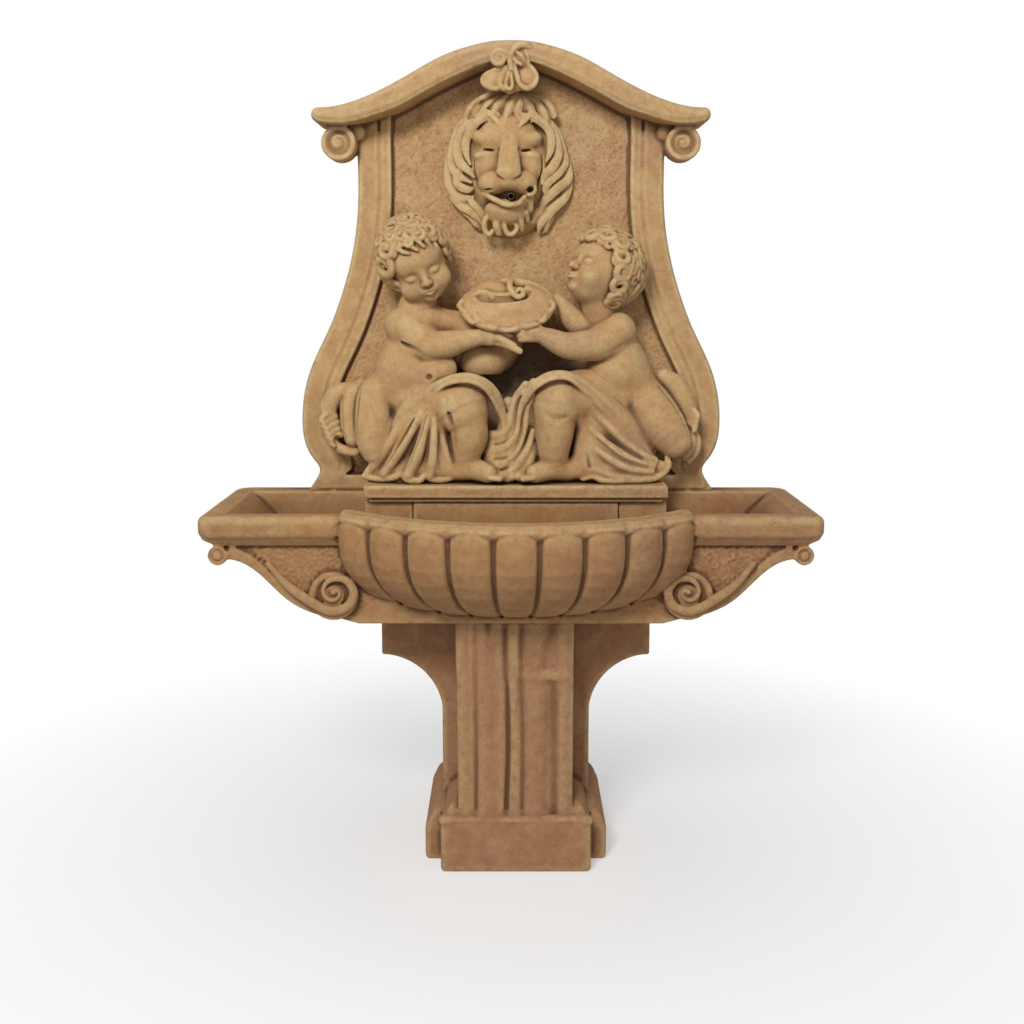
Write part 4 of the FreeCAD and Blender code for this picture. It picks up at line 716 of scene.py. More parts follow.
def makePedestal():
    s = foldSize
    low, high = (-300, -84, -4), (320, 258, 523)
    clay = Clay(low, high, s["step"]).node("pedestal")
    prismInto(clay, s["apron"], -60, 40, 3.0)
    for row in s["ridges"]:
        clay.rope([(x, y - r * (1 - s["flat"]), z, r) for x, y, z, r in row], s["soft"], False, 5, s["flat"])
    ropes(clay, s["grooves"], 5.0, True)
    clay.trim(2, s["top"], False)
    clay.soften(2)
    # the foot is worn rounder than the rest
    clay.soften(5, clay.window(low, (*high[:2], s["footTop"]))[0])
    # a fat bead round the top of the foot's block, with a line under it
    for z, out, r, half, dig in ((110, -63, 10.0, 134, False), (96.5, -75, 2.2, 153, True)):
        x0, x1 = s["axisX"] - half, s["axisX"] + half
        clay.rope([(x0, 60, z, r), (x0, out + 6, z, r), (x0 + 6, out, z, r), (x1 - 6, out, z, r), (x1, out + 6, z, r),
                   (x1, 60, z, r)], 2.0, dig, 2)
    clay.trim(2, 0.0, True)
    return bake(clay, "pedestal_stone", s["faces"])


# Riser: ledge, piers and cover with worn edges

riserSize = {"step": 2.0, "margin": 6.0, "faces": 24000}


def makeRiser():
    s = riserSize
    pieces = {}
    for name in ("figure_ledge", "left_riser_pier", "right_riser_pier", "pump_cover"):
        low, high = (np.array(v) * 1000 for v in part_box(name))
        clay = Clay(low - s["margin"], high + s["margin"], s["step"]).node(name)
        clay.soften(1)
        pieces[name] = bake(clay, name + "_stone", s["faces"])
    return pieces


# Lion mask: points are (right, up, out) from the middle of the mask on the sunk field

lionSize = {"centreZ": 1426.0, "fieldY": 209.0, "step": 1.5, "faces": 180000}


def lionAt(u, v, d):
    return u, lionSize["fieldY"] - d, lionSize["centreZ"] + v


def locks(clay, rows, width, soft=1.6):
    # a wavy lock of hair: strands side by side along one line of (u, v, out) points
    strands = max(2, round(width / 4.6))
    line = smoothCurve([(*r, 0) for r in rows], 5)[:, :3]
    ahead = np.gradient(line, axis=0)
    side = np.stack([-ahead[:, 1], ahead[:, 0]], 1)
    side /= np.linalg.norm(side, axis=1)[:, None] + 1e-6
    t = np.linspace(0, 1, len(line))
    full = width * np.clip(np.minimum(0.5 + 2.2 * t, 0.34 + 2.4 * (1 - t)), 0.0, 1.0)
    for k in range(strands):
        shift = (k - (strands - 1) / 2) / strands
        points = []
        for i in range(len(line)):
            u = line[i, 0] + side[i, 0] * full[i] * shift
            v = line[i, 1] + side[i, 1] * full[i] * shift
            out = line[i, 2] - abs(shift) * full[i] * 0.4
            points.append((*lionAt(u, v, out), max(1.5, full[i] * 0.64 / strands)))
        clay.rope(points, soft, False, 1)


def lionRopes(clay, rows, soft, dig=False):
    for row in rows:
        clay.rope([(*lionAt(u, v, d), r) for u, v, d, r in row], soft, dig)


def makeLion():
    y0 = lionSize["fieldY"]
    clay = Clay((-146, 84, 1270), (142, y0 + 6, 1596), lionSize["step"])
    balls(clay, [(lionAt(-3, -2, -4), (112, 36, 122), 0), (lionAt(-5, 6, 0), (94, 62, 108), 14),
                 (lionAt(-4, -102, 0), (62, 46, 36), 12)])
    ring = [(*lionAt(-6 + 98 * math.cos(a), -4 + 112 * math.sin(a), 6), 22) for a in np.arange(25) * math.pi / 12]
    clay.rope(ring, 10, False, 1)
    # skull, brow and cheeks
    balls(clay, [(lionAt(-8, 56, 24), (60, 44, 50), 10), (lionAt(-50, 6, 34), (28, 31, 38), 10),
                 (lionAt(42, 2, 34), (26, 31, 36), 10)])
    clay.ball(lionAt(-50, 60, 44), (31, 20, 17), 14, turn(0, 8))
    clay.ball(lionAt(36, 58, 46), (28, 19, 17), 14, turn(0, -8))
    clay.ball(lionAt(-6, 80, 36), (52, 30, 34), 12)
    # broad nose from brow to tip
    lionRopes(clay, [[(-13, 88, 52, 11), (-12, 60, 62, 10), (-14, 34, 68, 10), (-16, 8, 80, 11), (-18, -12, 91, 12)],
                     [(5, 88, 52, 11), (4, 60, 62, 10), (6, 34, 68, 10), (8, 8, 80, 11), (9, -12, 91, 12)],
                     [(-4, 40, 66, 12), (-4, 8, 80, 14), (-5, -12, 92, 15)]], 8)
    balls(clay, [(lionAt(-5, -20, 90), (23, 15, 13), 5), (lionAt(-19, -20, 86), (12, 12, 10), 4),
                 (lionAt(12, -20, 86), (12, 12, 10), 4), (lionAt(-6, -30, 92), (9, 9, 7), 4)])
    # muzzle, lip and chin
    balls(clay, [(lionAt(-36, -32, 60), (32, 30, 24), 7), (lionAt(26, -32, 62), (28, 30, 24), 7),
                 (lionAt(-4, -34, 74), (30, 24, 15), 7), (lionAt(-10, -96, 40), (46, 36, 24), 8),
                 (lionAt(-12, -84, 50), (42, 30, 20), 8)])
    clay.limb(lionAt(38, -20, 56), lionAt(37, -84, 44), 12, 10, 8)
    # a dug line under each brow, flat eyes with dark slits, lower lids
    lionRopes(clay, [[(-74, 44, 46, 2), (-60, 39, 60, 4.5), (-44, 38, 66, 5), (-27, 34, 68, 4)],
                     [(10, 32, 68, 4), (28, 36, 66, 5), (42, 37, 61, 4.5), (56, 41, 48, 2)]], 4, True)
    balls(clay, [(lionAt(-47, 34, 46), (15, 12, 8), 2), (lionAt(33, 32, 46), (14, 12, 8), 2)])
    clay.ball(lionAt(-57, 25, 52), (20, 13, 9), 7, turn(0, -8))
    clay.ball(lionAt(42, 24, 52), (18, 13, 9), 7, turn(0, 8))
    clay.ball(lionAt(-47, 35, 62), (14, 15, 2.8), 1.5, turn(0, 6), True)
    clay.ball(lionAt(32, 34, 62), (13, 15, 2.8), 1.5, turn(0, -6), True)
    # nostrils, lip line, mouth
    lionRopes(clay, [[(-31, -18, 90, 2), (-25.5, -23, 96, 3.6), (-15, -30, 100, 2)],
                     [(24, -16, 90, 2), (18, -23, 96, 3.6), (6, -30, 100, 2)]], 2, True)
    lionRopes(clay, [[(-5, -38, 101, 1.6), (-4, -50, 98, 2.2)]], 3, True)
    lionRopes(clay, [[(-66, -36, 54, 2.2), (-52, -44, 72, 3.2), (-41, -48, 82, 3), (-30, -53, 88, 3),
                      (-16, -60, 92, 3.6)]],
              2.4, True)
    clay.ball(lionAt(-3, -60, 88), (19, 26, 9.5), 2.5, None, True)
    clay.ball(lionAt(0, -61, 60), (10, 40, 7), 1.5, None, True)
    lionRopes(clay, [[(14, -58, 90, 3), (28, -52, 82, 3.4)]], 2, True)
    clay.ring(lionAt(39, -46, 70), 11, 4.8, 3, turn(0, 0, -20))
    clay.ball(lionAt(39, -46, 72), (8, 18, 6.5), 2, None, True)
    lionRopes(clay, [[(-58, -54, 58, 4.5), (-44, -62, 74, 5.5), (-30, -69, 83, 6), (-10, -78, 87, 6.2),
                      (14, -76, 86, 6), (28, -62, 77, 5)]], 3.5)
    lionRopes(clay, [[(-54, -66, 58, 2), (-38, -78, 76, 2.6), (-14, -88, 82, 2.4), (12, -87, 82, 2)]], 3, True)
    # dark clefts between face and mane
    lionRopes(clay, [[(-80, 64, 48, 2.5), (-83, 46, 44, 4), (-79, 28, 44, 3)],
                     [(-74, 12, 44, 2.5), (-74, -14, 42, 5), (-71, -46, 40, 6), (-67, -62, 40, 4)],
                     [(68, 62, 45, 2.5), (68, 36, 43, 4), (62, 2, 45, 5), (55, -22, 43, 6), (54, -50, 40, 6),
                      (46, -80, 38, 6), (43, -104, 34, 6)]], 2.5, True)
    # tuft: locks that fall from the top of the head to both sides and down over the brow
    balls(clay, [(lionAt(0, 120, 20), (66, 34, 36), 10), (lionAt(-74, 112, 14), (24, 22, 26), 8),
                 (lionAt(70, 112, 14), (22, 22, 26), 8)])
    for row in (((4, 150, 34), (-14, 140, 47), (-30, 120, 55), (-41, 94, 56)),
                ((-6, 148, 30), (-34, 138, 42), (-55, 120, 47), (-67, 98, 46), (-72, 80, 44)),
                ((-14, 152, 20), (-46, 148, 29), (-74, 134, 33), (-90, 112, 34), (-95, 88, 34)),
                ((8, 150, 36), (4, 136, 51), (-5, 114, 59), (-13, 90, 60)),
                ((12, 150, 34), (17, 134, 49), (14, 112, 58), (19, 90, 59)),
                ((16, 148, 32), (31, 136, 45), (42, 116, 52), (45, 94, 54)),
                ((20, 146, 28), (46, 136, 38), (63, 118, 43), (72, 98, 44), (75, 80, 42)),
                ((24, 150, 20), (54, 144, 28), (78, 128, 31), (92, 104, 34))):
        for shift, thick in ((-4.6, 4.6), (0.0, 5.6), (4.6, 4.6)):
            strand = []
            for n, (u, v, d) in enumerate(row):
                over, down = (1, 0) if abs(u) < 40 else (0.75, 0.6)
                strand.append((*lionAt(u + shift * over, v + shift * down, d - abs(shift) * 0.5),
                               thick * (1.0 if n < len(row) - 1 else 0.5)))
            clay.rope(strand, 1.6)
    balls(clay, [(lionAt(-73, 120, 22), (18, 14, 19), 4), (lionAt(62, 118, 22), (16, 14, 18), 4)])
    rows = [
        ([(-24, 106, 58), (-46, 104, 56), (-68, 94, 50), (-84, 76, 44), (-94, 52, 42), (-92, 26, 44), (-84, 6, 44)],
         17),
        ([(-58, 100, 50), (-86, 90, 40), (-104, 70, 34), (-112, 40, 32), (-106, 12, 36), (-88, -6, 42),
          (-76, -20, 42)], 19),
        ([(-84, 104, 34), (-104, 90, 24), (-116, 62, 20), (-124, 28, 20), (-120, 0, 27), (-104, -18, 34),
          (-82, -30, 40)], 19),
        ([(-106, 80, 16), (-122, 44, 13), (-131, 4, 13), (-130, -28, 16), (-118, -52, 22), (-96, -62, 30),
          (-78, -58, 36)], 19),
        ([(-96, 6, 36), (-112, -12, 30), (-110, -34, 32), (-90, -44, 38), (-78, -40, 40)], 16),
        ([(-128, -20, 12), (-122, -54, 18), (-104, -76, 26), (-86, -86, 32), (-70, -100, 32), (-60, -116, 26)], 19),
        ([(-116, -56, 12), (-104, -80, 16), (-84, -98, 22), (-72, -114, 22), (-64, -126, 14)], 16),
        ([(-92, -56, 32), (-78, -74, 38), (-64, -90, 38), (-56, -108, 32)], 14),
        ([(-74, 104, 46), (-52, 112, 54), (-34, 98, 62), (-20, 80, 66)], 11),
        ([(20, 106, 58), (42, 102, 56), (62, 92, 52), (78, 76, 46), (84, 52, 44), (80, 28, 46), (72, 12, 46)], 16),
        ([(60, 98, 48), (80, 84, 40), (92, 60, 36), (98, 30, 36), (88, 4, 42), (70, -16, 46), (64, -34, 44)], 19),
        ([(78, 98, 34), (92, 80, 26), (104, 48, 22), (112, 14, 24), (98, -10, 36), (78, -28, 42), (72, -46, 40),
          (84, -62, 34)], 19),
        ([(92, 74, 18), (108, 38, 14), (118, 4, 16), (118, -22, 24), (98, -40, 34), (80, -56, 36), (66, -74, 32),
          (62, -92, 28)], 20),
        ([(114, 20, 10), (122, -22, 12), (114, -56, 20), (96, -76, 28), (80, -92, 28), (74, -112, 22), (74, -130, 14)],
         19),
        ([(104, -66, 18), (88, -86, 22), (74, -98, 28), (62, -116, 26), (58, -134, 18)], 15),
        ([(92, -82, 18), (84, -102, 18), (75, -120, 16), (66, -134, 10)], 12),
        ([(60, 102, 50), (44, 108, 56), (30, 96, 62), (16, 80, 66)], 11),
    ]
    for points, width in rows:
        locks(clay, points, width)
    for u, v, d in ((-92, 60, 46), (-80, 50, 48), (90, 4, 44), (86, -30, 42), (-98, -22, 42)):
        clay.rope([(*lionAt(u, v + 12, d), 1.2), (*lionAt(u + 2, v, d + 2), 2.6), (*lionAt(u, v - 14, d), 1.2)], 1.5,
                  True)
    # beard
    lionRopes(clay, [[(-42, -94, 58, 5.5), (-54, -108, 54, 6), (-55, -126, 48, 6), (-46, -137, 46, 5.5),
                      (-38, -129, 48, 4.5)],
                     [(-28, -100, 62, 8), (-29, -118, 57, 9.5), (-25, -134, 50, 7)],
                     [(-15, -100, 64, 5), (-14, -118, 60, 5.5), (-8, -134, 54, 5.5), (3, -136, 53, 5.5),
                      (12, -126, 54, 5), (9, -114, 56, 4.5), (1, -113, 57, 4)],
                     [(14, -98, 62, 7), (21, -112, 55, 7), (23, -126, 46, 5.5)],
                     [(30, -92, 56, 7), (34, -106, 46, 6)]], 2.2)
    clay.trim(1, y0 + 2.0, False)
    clay.soften(1)
    return bake(clay, "lion_mask_stone", lionSize["faces"])


# Children's heads: points are (right, up, forward) as shares of the head's height

goldenAngle = 2.399963  # radians, spreads the locks evenly


def inFrame(centre, turned, size):
    def place(a, b, c):
        return tuple(np.array(centre) + turned @ (np.array([a, -c, b]) * size))
    return place


def curl(clay, head, out, radius, thick, way, lift, rounds):
    # one lock of hair that bends over the head and tapers; out is its direction in the head's own frame
    size, turned, place = head
    reach = np.array([0.41, 0.47, 0.44]) * size
    k = 1 / math.sqrt(sum((out[n] / reach[n]) ** 2 for n in range(3)))
    aim = turned @ out
    middle = np.array(place(0, 0.09, -0.05)) + aim * (k + lift)
    # the lock starts on the crown's side and runs down
    down = aim * (turned[:, 2] @ aim) - turned[:, 2]
    down /= np.linalg.norm(down) + 1e-9
    side = np.cross(aim, down)
    rows = []
    count = int(12 * rounds) + 4
    for i in range(count + 1):
        t = i / count
        a = -1.5 + 2 * math.pi * rounds * t
        r = radius * (1.25 - 0.75 * t)
        rise = 2.6 * math.sin(3.1 * t) - 2.0 * (1 - t)
        point = middle + down * r * math.sin(a) + side * way * r * math.cos(a) + aim * rise
        rows.append((*point, thick * (0.55 + 0.7 * math.sin(3.1 * (0.12 + 0.8 * t)))))
    clay.rope(rows, 1.6, False, 2)


def makeHead(name, look):
    size = look["size"]
    turned = turn(look["nod"], look["roll"], look["yaw"])
    place = inFrame(look["centre"], turned, size)
    head = (size, turned, place)
    reach = size * 0.70
    low = np.array(look["centre"]) - reach
    high = np.array(look["centre"]) + reach
    high[1] = min(high[1], fieldCut + 1)
    clay = Clay(low, high, look["step"])

    def ball(a, b, c, r, soft=0.0, dig=False, lean=0.0):
        radii = tuple(v * size for v in (r if np.ndim(r) else (r, r, r)))
        clay.ball(place(a, b, c), (radii[0], radii[2], radii[1]), soft * size, turned @ turn(0, lean), dig)

    def rope(rows, soft=0.0, dig=False, parts=5):
        clay.rope([(*place(a, b, c), r * size) for a, b, c, r in rows], soft * size, dig, parts)

    def mirrored(rows):
        # points from the left to the middle, then the same ones back on the right
        return rows + [(-a, b, c, r) for a, b, c, r in rows[-2::-1]]

    # round skull, bulging brow, full cheeks and a small chin
    ball(0, 0.09, -0.05, (0.375, 0.40, 0.42))
    ball(0, 0.08, 0.10, (0.31, 0.26, 0.29), 0.10)
    ball(0, -0.17, 0.10, (0.30, 0.28, 0.27), 0.10)
    ball(0, -0.32, 0.15, (0.21, 0.15, 0.18), 0.09)
    for side in (-1, 1):
        ball(side * 0.165, -0.215, 0.235, (0.155, 0.145, 0.135), 0.06)
        ball(side * 0.13, 0.10, 0.29, (0.13, 0.10, 0.07), 0.10)
    ball(0, -0.385, 0.30, (0.075, 0.055, 0.06), 0.045)
    # soft sockets, eyes with the lids nearly shut
    for side in (-1, 1):
        ball(side * 0.145, -0.055, 0.44, (0.085, 0.045, 0.065), 0.07, True)
        ball(side * 0.145, -0.066, 0.322, (0.066, 0.044, 0.062), 0.035)
        rope([(side * 0.082, -0.082, 0.374, 0.005), (side * 0.145, -0.098, 0.386, 0.0075),
              (side * 0.208, -0.082, 0.358, 0.005)], 0.008, True)
        rope([(side * 0.085, -0.022, 0.386, 0.004), (side * 0.15, -0.008, 0.380, 0.005),
              (side * 0.218, -0.028, 0.346, 0.004)], 0.022, True)
    # snub nose, short lip, small full mouth
    rope([(0, -0.01, 0.372, 0.022), (0, -0.09, 0.392, 0.028), (0, -0.145, 0.425, 0.038)], 0.05)
    ball(0, -0.158, 0.434, (0.050, 0.042, 0.048), 0.03)
    for side in (-1, 1):
        ball(side * 0.044, -0.172, 0.408, (0.032, 0.026, 0.034), 0.02)
        ball(side * 0.024, -0.196, 0.435, (0.012, 0.010, 0.016), 0.008, True)
    rope([(0, -0.212, 0.42, 0.008), (0, -0.236, 0.41, 0.010)], 0.022, True)
    ball(0, -0.272, 0.335, (0.095, 0.058, 0.075), 0.05)
    rope(mirrored([(-0.070, -0.274, 0.382, 0.008), (-0.034, -0.256, 0.408, 0.016), (0, -0.260, 0.418, 0.015)]), 0.012)
    rope(mirrored([(-0.056, -0.292, 0.388, 0.010), (0, -0.306, 0.406, 0.021)]), 0.012)
    rope(mirrored([(-0.080, -0.274, 0.388, 0.006), (-0.034, -0.277, 0.418, 0.005), (0, -0.281, 0.428, 0.005)]), 0.006,
         True)
    rope(mirrored([(-0.05, -0.338, 0.385, 0.008), (0, -0.343, 0.395, 0.009)]), 0.03, True)
    for side in (-1, 1):
        ball(side * 0.385, -0.10, 0.0, (0.04, 0.09, 0.06), 0.02)
        ball(side * 0.425, -0.095, 0.01, (0.022, 0.05, 0.032), 0.012, True)
    clay.limb(place(0, -0.27, -0.03), look["neck"], 0.20 * size, 0.235 * size, 0.06 * size)
    # hair: a cap over the skull, then locks spread evenly over all that lies above the hairline
    ball(0, 0.15, -0.11, (0.40, 0.385, 0.405), 0.015)
    ball(0, -0.02, -0.20, (0.36, 0.36, 0.30), 0.03)
    rng = np.random.default_rng(look["seed"])
    count = look["locks"]
    for i in range(count):
        z = 1 - 2 * (i + 0.5) / count
        a = i * goldenAngle + rng.uniform(-0.12, 0.12)
        out = np.array([math.sqrt(1 - z * z) * math.sin(a), math.sqrt(1 - z * z) * math.cos(a), z])
        forward = -out[1]
        line = out[2] * 0.80 - forward * 0.62 + 0.10 * abs(out[0])
        way = 1 if rng.random() > 0.5 else -1
        grow = rng.uniform(0.85, 1.25)
        if line > look["hairline"] and out[2] > look["nape"]:
            curl(clay, head, out, look["curl"] * grow, look["strand"] * grow ** 0.5, way, rng.uniform(-1.0, 3.0),
                 rng.uniform(0.45, 0.95))
    for azimuth, rise, grow, lift, way in look["bigCurls"]:
        a, e = math.radians(azimuth), math.radians(rise)
        out = np.array([math.sin(a) * math.cos(e), -math.cos(a) * math.cos(e), math.sin(e)])
        curl(clay, head, out, look["curl"] * grow, look["strand"] * grow ** 0.7, way, lift, 1.25)
    for rows in look["tresses"]:
        rope(rows, 0.008)
    clay.trim(1, fieldCut, False)
    clay.soften(1)
    return bake(clay, name, look["faces"])


# nod, roll and yaw in degrees; each big curl is (azimuth, rise, growth, lift, way)
leftHead = {"centre": (-196, 126, 1234), "size": 170.0, "nod": 18.0, "roll": -25.0, "yaw": 14.0, "step": 1.35,
            "faces": 150000, "neck": (-200, 146, 1126), "seed": 4, "curl": 10.0, "strand": 4.6, "locks": 330,
            "hairline": -0.06, "nape": -0.55,
            "bigCurls": [(-58, 10, 2.0, 3.0, 1), (-74, -10, 1.9, 3.0, -1), (-62, -30, 1.3, 3.0, 1),
                         (-46, 34, 1.5, 3.0, 1), (46, 36, 1.3, 3.0, -1), (62, 14, 1.3, 2.0, 1),
                         (70, -8, 1.2, 1.0, -1)],
            "tresses": [[(-0.06, 0.40, 0.28, 0.024), (-0.01, 0.33, 0.36, 0.028), (0.05, 0.25, 0.39, 0.020)],
                        [(0.05, 0.41, 0.26, 0.024), (0.10, 0.34, 0.345, 0.029), (0.14, 0.25, 0.37, 0.021)],
                        [(0.15, 0.37, 0.25, 0.024), (0.20, 0.29, 0.315, 0.029), (0.225, 0.19, 0.335, 0.020)],
                        [(-0.16, 0.37, 0.28, 0.024), (-0.12, 0.30, 0.355, 0.028), (-0.05, 0.25, 0.385, 0.018)],
                        [(0.24, 0.28, 0.22, 0.024), (0.28, 0.18, 0.27, 0.028), (0.29, 0.08, 0.27, 0.020)]]}
rightHead = {"centre": (190, 128, 1212), "size": 164.0, "nod": -30.0, "roll": -4.0, "yaw": -60.0, "step": 1.35,
             "faces": 150000, "neck": (188, 148, 1110), "seed": 9, "curl": 10.0, "strand": 4.5, "locks": 330,
             "hairline": -0.24, "nape": -0.75,
             "bigCurls": [(74, 6, 1.4, 3.0, -1), (84, -16, 1.5, 4.0, 1), (96, -36, 1.5, 5.0, -1),
                          (112, -52, 1.5, 7.0, 1), (62, 28, 1.3, 3.0, 1), (38, 30, 1.5, 3.0, -1), (8, 26, 1.5, 3.0, 1),
                          (128, -60, 1.5, 9.0, -1), (-20, 30, 1.4, 3.0, -1), (20, 46, 1.5, 4.0, 1)],
             "tresses": []}


# Children's bodies: each ends at the middle plane, but for the left one's finger above fingerZ

bodySize = {"step": 1.9, "gap": 2.5, "fingerX": 34.0, "fingerZ": 1010, "faces": 180000}


def hand(clay, palm, aim, knuckle, thick, spread, curlDown, thumb):
    # a plump palm, four fingers that fan out and droop, and a thumb; aim is the way the fingers point
    aim = np.array(aim, float) / np.linalg.norm(aim)
    up = np.array([0.0, 0.0, 1.0])
    across = up - aim * (up @ aim)
    across /= np.linalg.norm(across)
    front = np.cross(across, aim)
    if front[1] > 0:
        front = -front
    palm = np.array(palm, float)
    clay.ball(tuple(palm + aim * knuckle * 0.35), (knuckle * 0.85, thick * 1.35, thick * 1.9), 5.0)
    for i in range(4):
        k = (i - 1.5) / 1.5
        root = palm + aim * knuckle * 0.8 - across * thick * 1.15 * k
        mid = root + aim * knuckle * (0.62 - 0.08 * abs(k)) - across * k * spread * 0.5 + front * 2
        tip = mid + aim * knuckle * 0.5 + across * (-k * spread * 0.6 - curlDown) - front * 3
        clay.rope([(*root, thick * 0.62), (*mid, thick * 0.56), (*tip, thick * 0.44)], 1.6, False, 3)
    base = palm + across * thick * 1.2 + front * 2
    thumb = np.array(thumb)
    clay.rope([(*base, thick * 0.7), (*(base + thumb * 0.55), thick * 0.6), (*(base + thumb), thick * 0.45)], 2.5,
              False, 3)


def foot(clay, heel, ball, toes, thick, toeWay):
    # a child's foot: round heel, plump middle, five toes side by side along toeWay
    heel, ball, toes, toeWay = (np.array(v, float) for v in (heel, ball, toes, toeWay))
    middle = (heel + ball) / 2 + np.array([0, 0, thick * 0.25])
    clay.rope([(*heel, thick), (*middle, thick * 0.98), (*ball, thick * 0.8)], 6.0, False, 4)
    wide = thick * 0.42
    for i in range(5):
        k = i - 1.6
        root = ball + toeWay * wide * k * 0.85 + np.array([0, 0, -thick * 0.15])
        tip = toes + toeWay * wide * k + (ball - toes) * 0.12 * i
        size = thick * (0.36 if i == 0 else 0.27 - 0.015 * i)
        clay.rope([(*root, size * 1.25), (*tip, size)], 1.4, False, 2)
        clay.ball(tuple(tip), size * 1.08, 1.0)


def band(clay, upper, lower, strands, soft=2.0, fat=0.62):
    # folds that run side by side between two lines of (x, y, z) points
    a, b = smoothCurve([(*p, 0) for p in upper], 5)[:, :3], smoothCurve([(*p, 0) for p in lower], 5)[:, :3]
    gap = np.linalg.norm(a - b, axis=1)
    clay.rope([(*p, max(3.0, g * 0.42)) for p, g in zip((a + b) / 2 + (0, 4, 0), gap)], 4.0, False, 1)
    for k in range(strands):
        t = (k + 0.5) / strands
        wave = 1 + 0.18 * math.sin(2.1 * k + 1.0)
        rows = [(*(p + (q - p) * t + (0, -2.0 * math.sin(math.pi * t), 0)), max(2.6, g / strands * fat * wave))
                for p, q, g in zip(a, b, gap)]
        clay.rope(rows, soft, False, 1)


def middleCloth(clay):
    # cloth that hangs from both knees, meets between the figures and swings to the left
    ropes(clay, [
        [(-4, 116, 940, 14), (-6, 112, 895, 20), (-10, 106, 850, 26), (-12, 100, 800, 28)],
        [(-40, 112, 868, 16), (-36, 108, 836, 24), (-34, 104, 798, 28)],
        [(34, 112, 880, 16), (34, 108, 840, 24), (30, 104, 798, 28)]], 10, False, 4)
    ropes(clay, [
        [(30, 72, 984, 7), (9, 82, 952, 8), (1, 88, 918, 8), (-6, 90, 892, 8), (-20, 94, 878, 8), (-36, 104, 874, 7)],
        [(46, 64, 990, 7), (26, 74, 960, 8), (17, 80, 924, 8.5), (13, 82, 890, 9), (0, 82, 864, 9), (-18, 84, 848, 9),
         (-40, 94, 842, 8), (-56, 106, 840, 7)],
        [(44, 74, 962, 6), (33, 84, 930, 7), (28, 84, 896, 8), (16, 82, 858, 9), (0, 80, 832, 9), (-20, 82, 816, 9),
         (-42, 90, 812, 8), (-58, 104, 812, 7)],
        [(46, 92, 884, 6), (36, 86, 852, 8), (20, 80, 824, 9), (0, 77, 806, 9), (-26, 80, 794, 9), (-48, 92, 790, 8)],
        [(50, 92, 852, 7), (38, 84, 820, 9), (20, 77, 799, 9), (-8, 74, 788, 9)]], 5.0)
    ropes(clay, [
        [(37, 64, 976, 2), (17, 74, 950, 3), (8, 78, 915, 4), (4, 80, 888, 4), (-12, 80, 866, 3.5), (-32, 88, 858, 3)],
        [(36, 74, 950, 2), (24, 78, 915, 3), (21, 76, 880, 4), (8, 74, 850, 4), (-10, 74, 832, 4), (-34, 80, 828, 3)],
        [(30, 76, 876, 2), (20, 72, 840, 3), (4, 70, 818, 3.5), (-20, 74, 804, 3)]], 2.5, True)


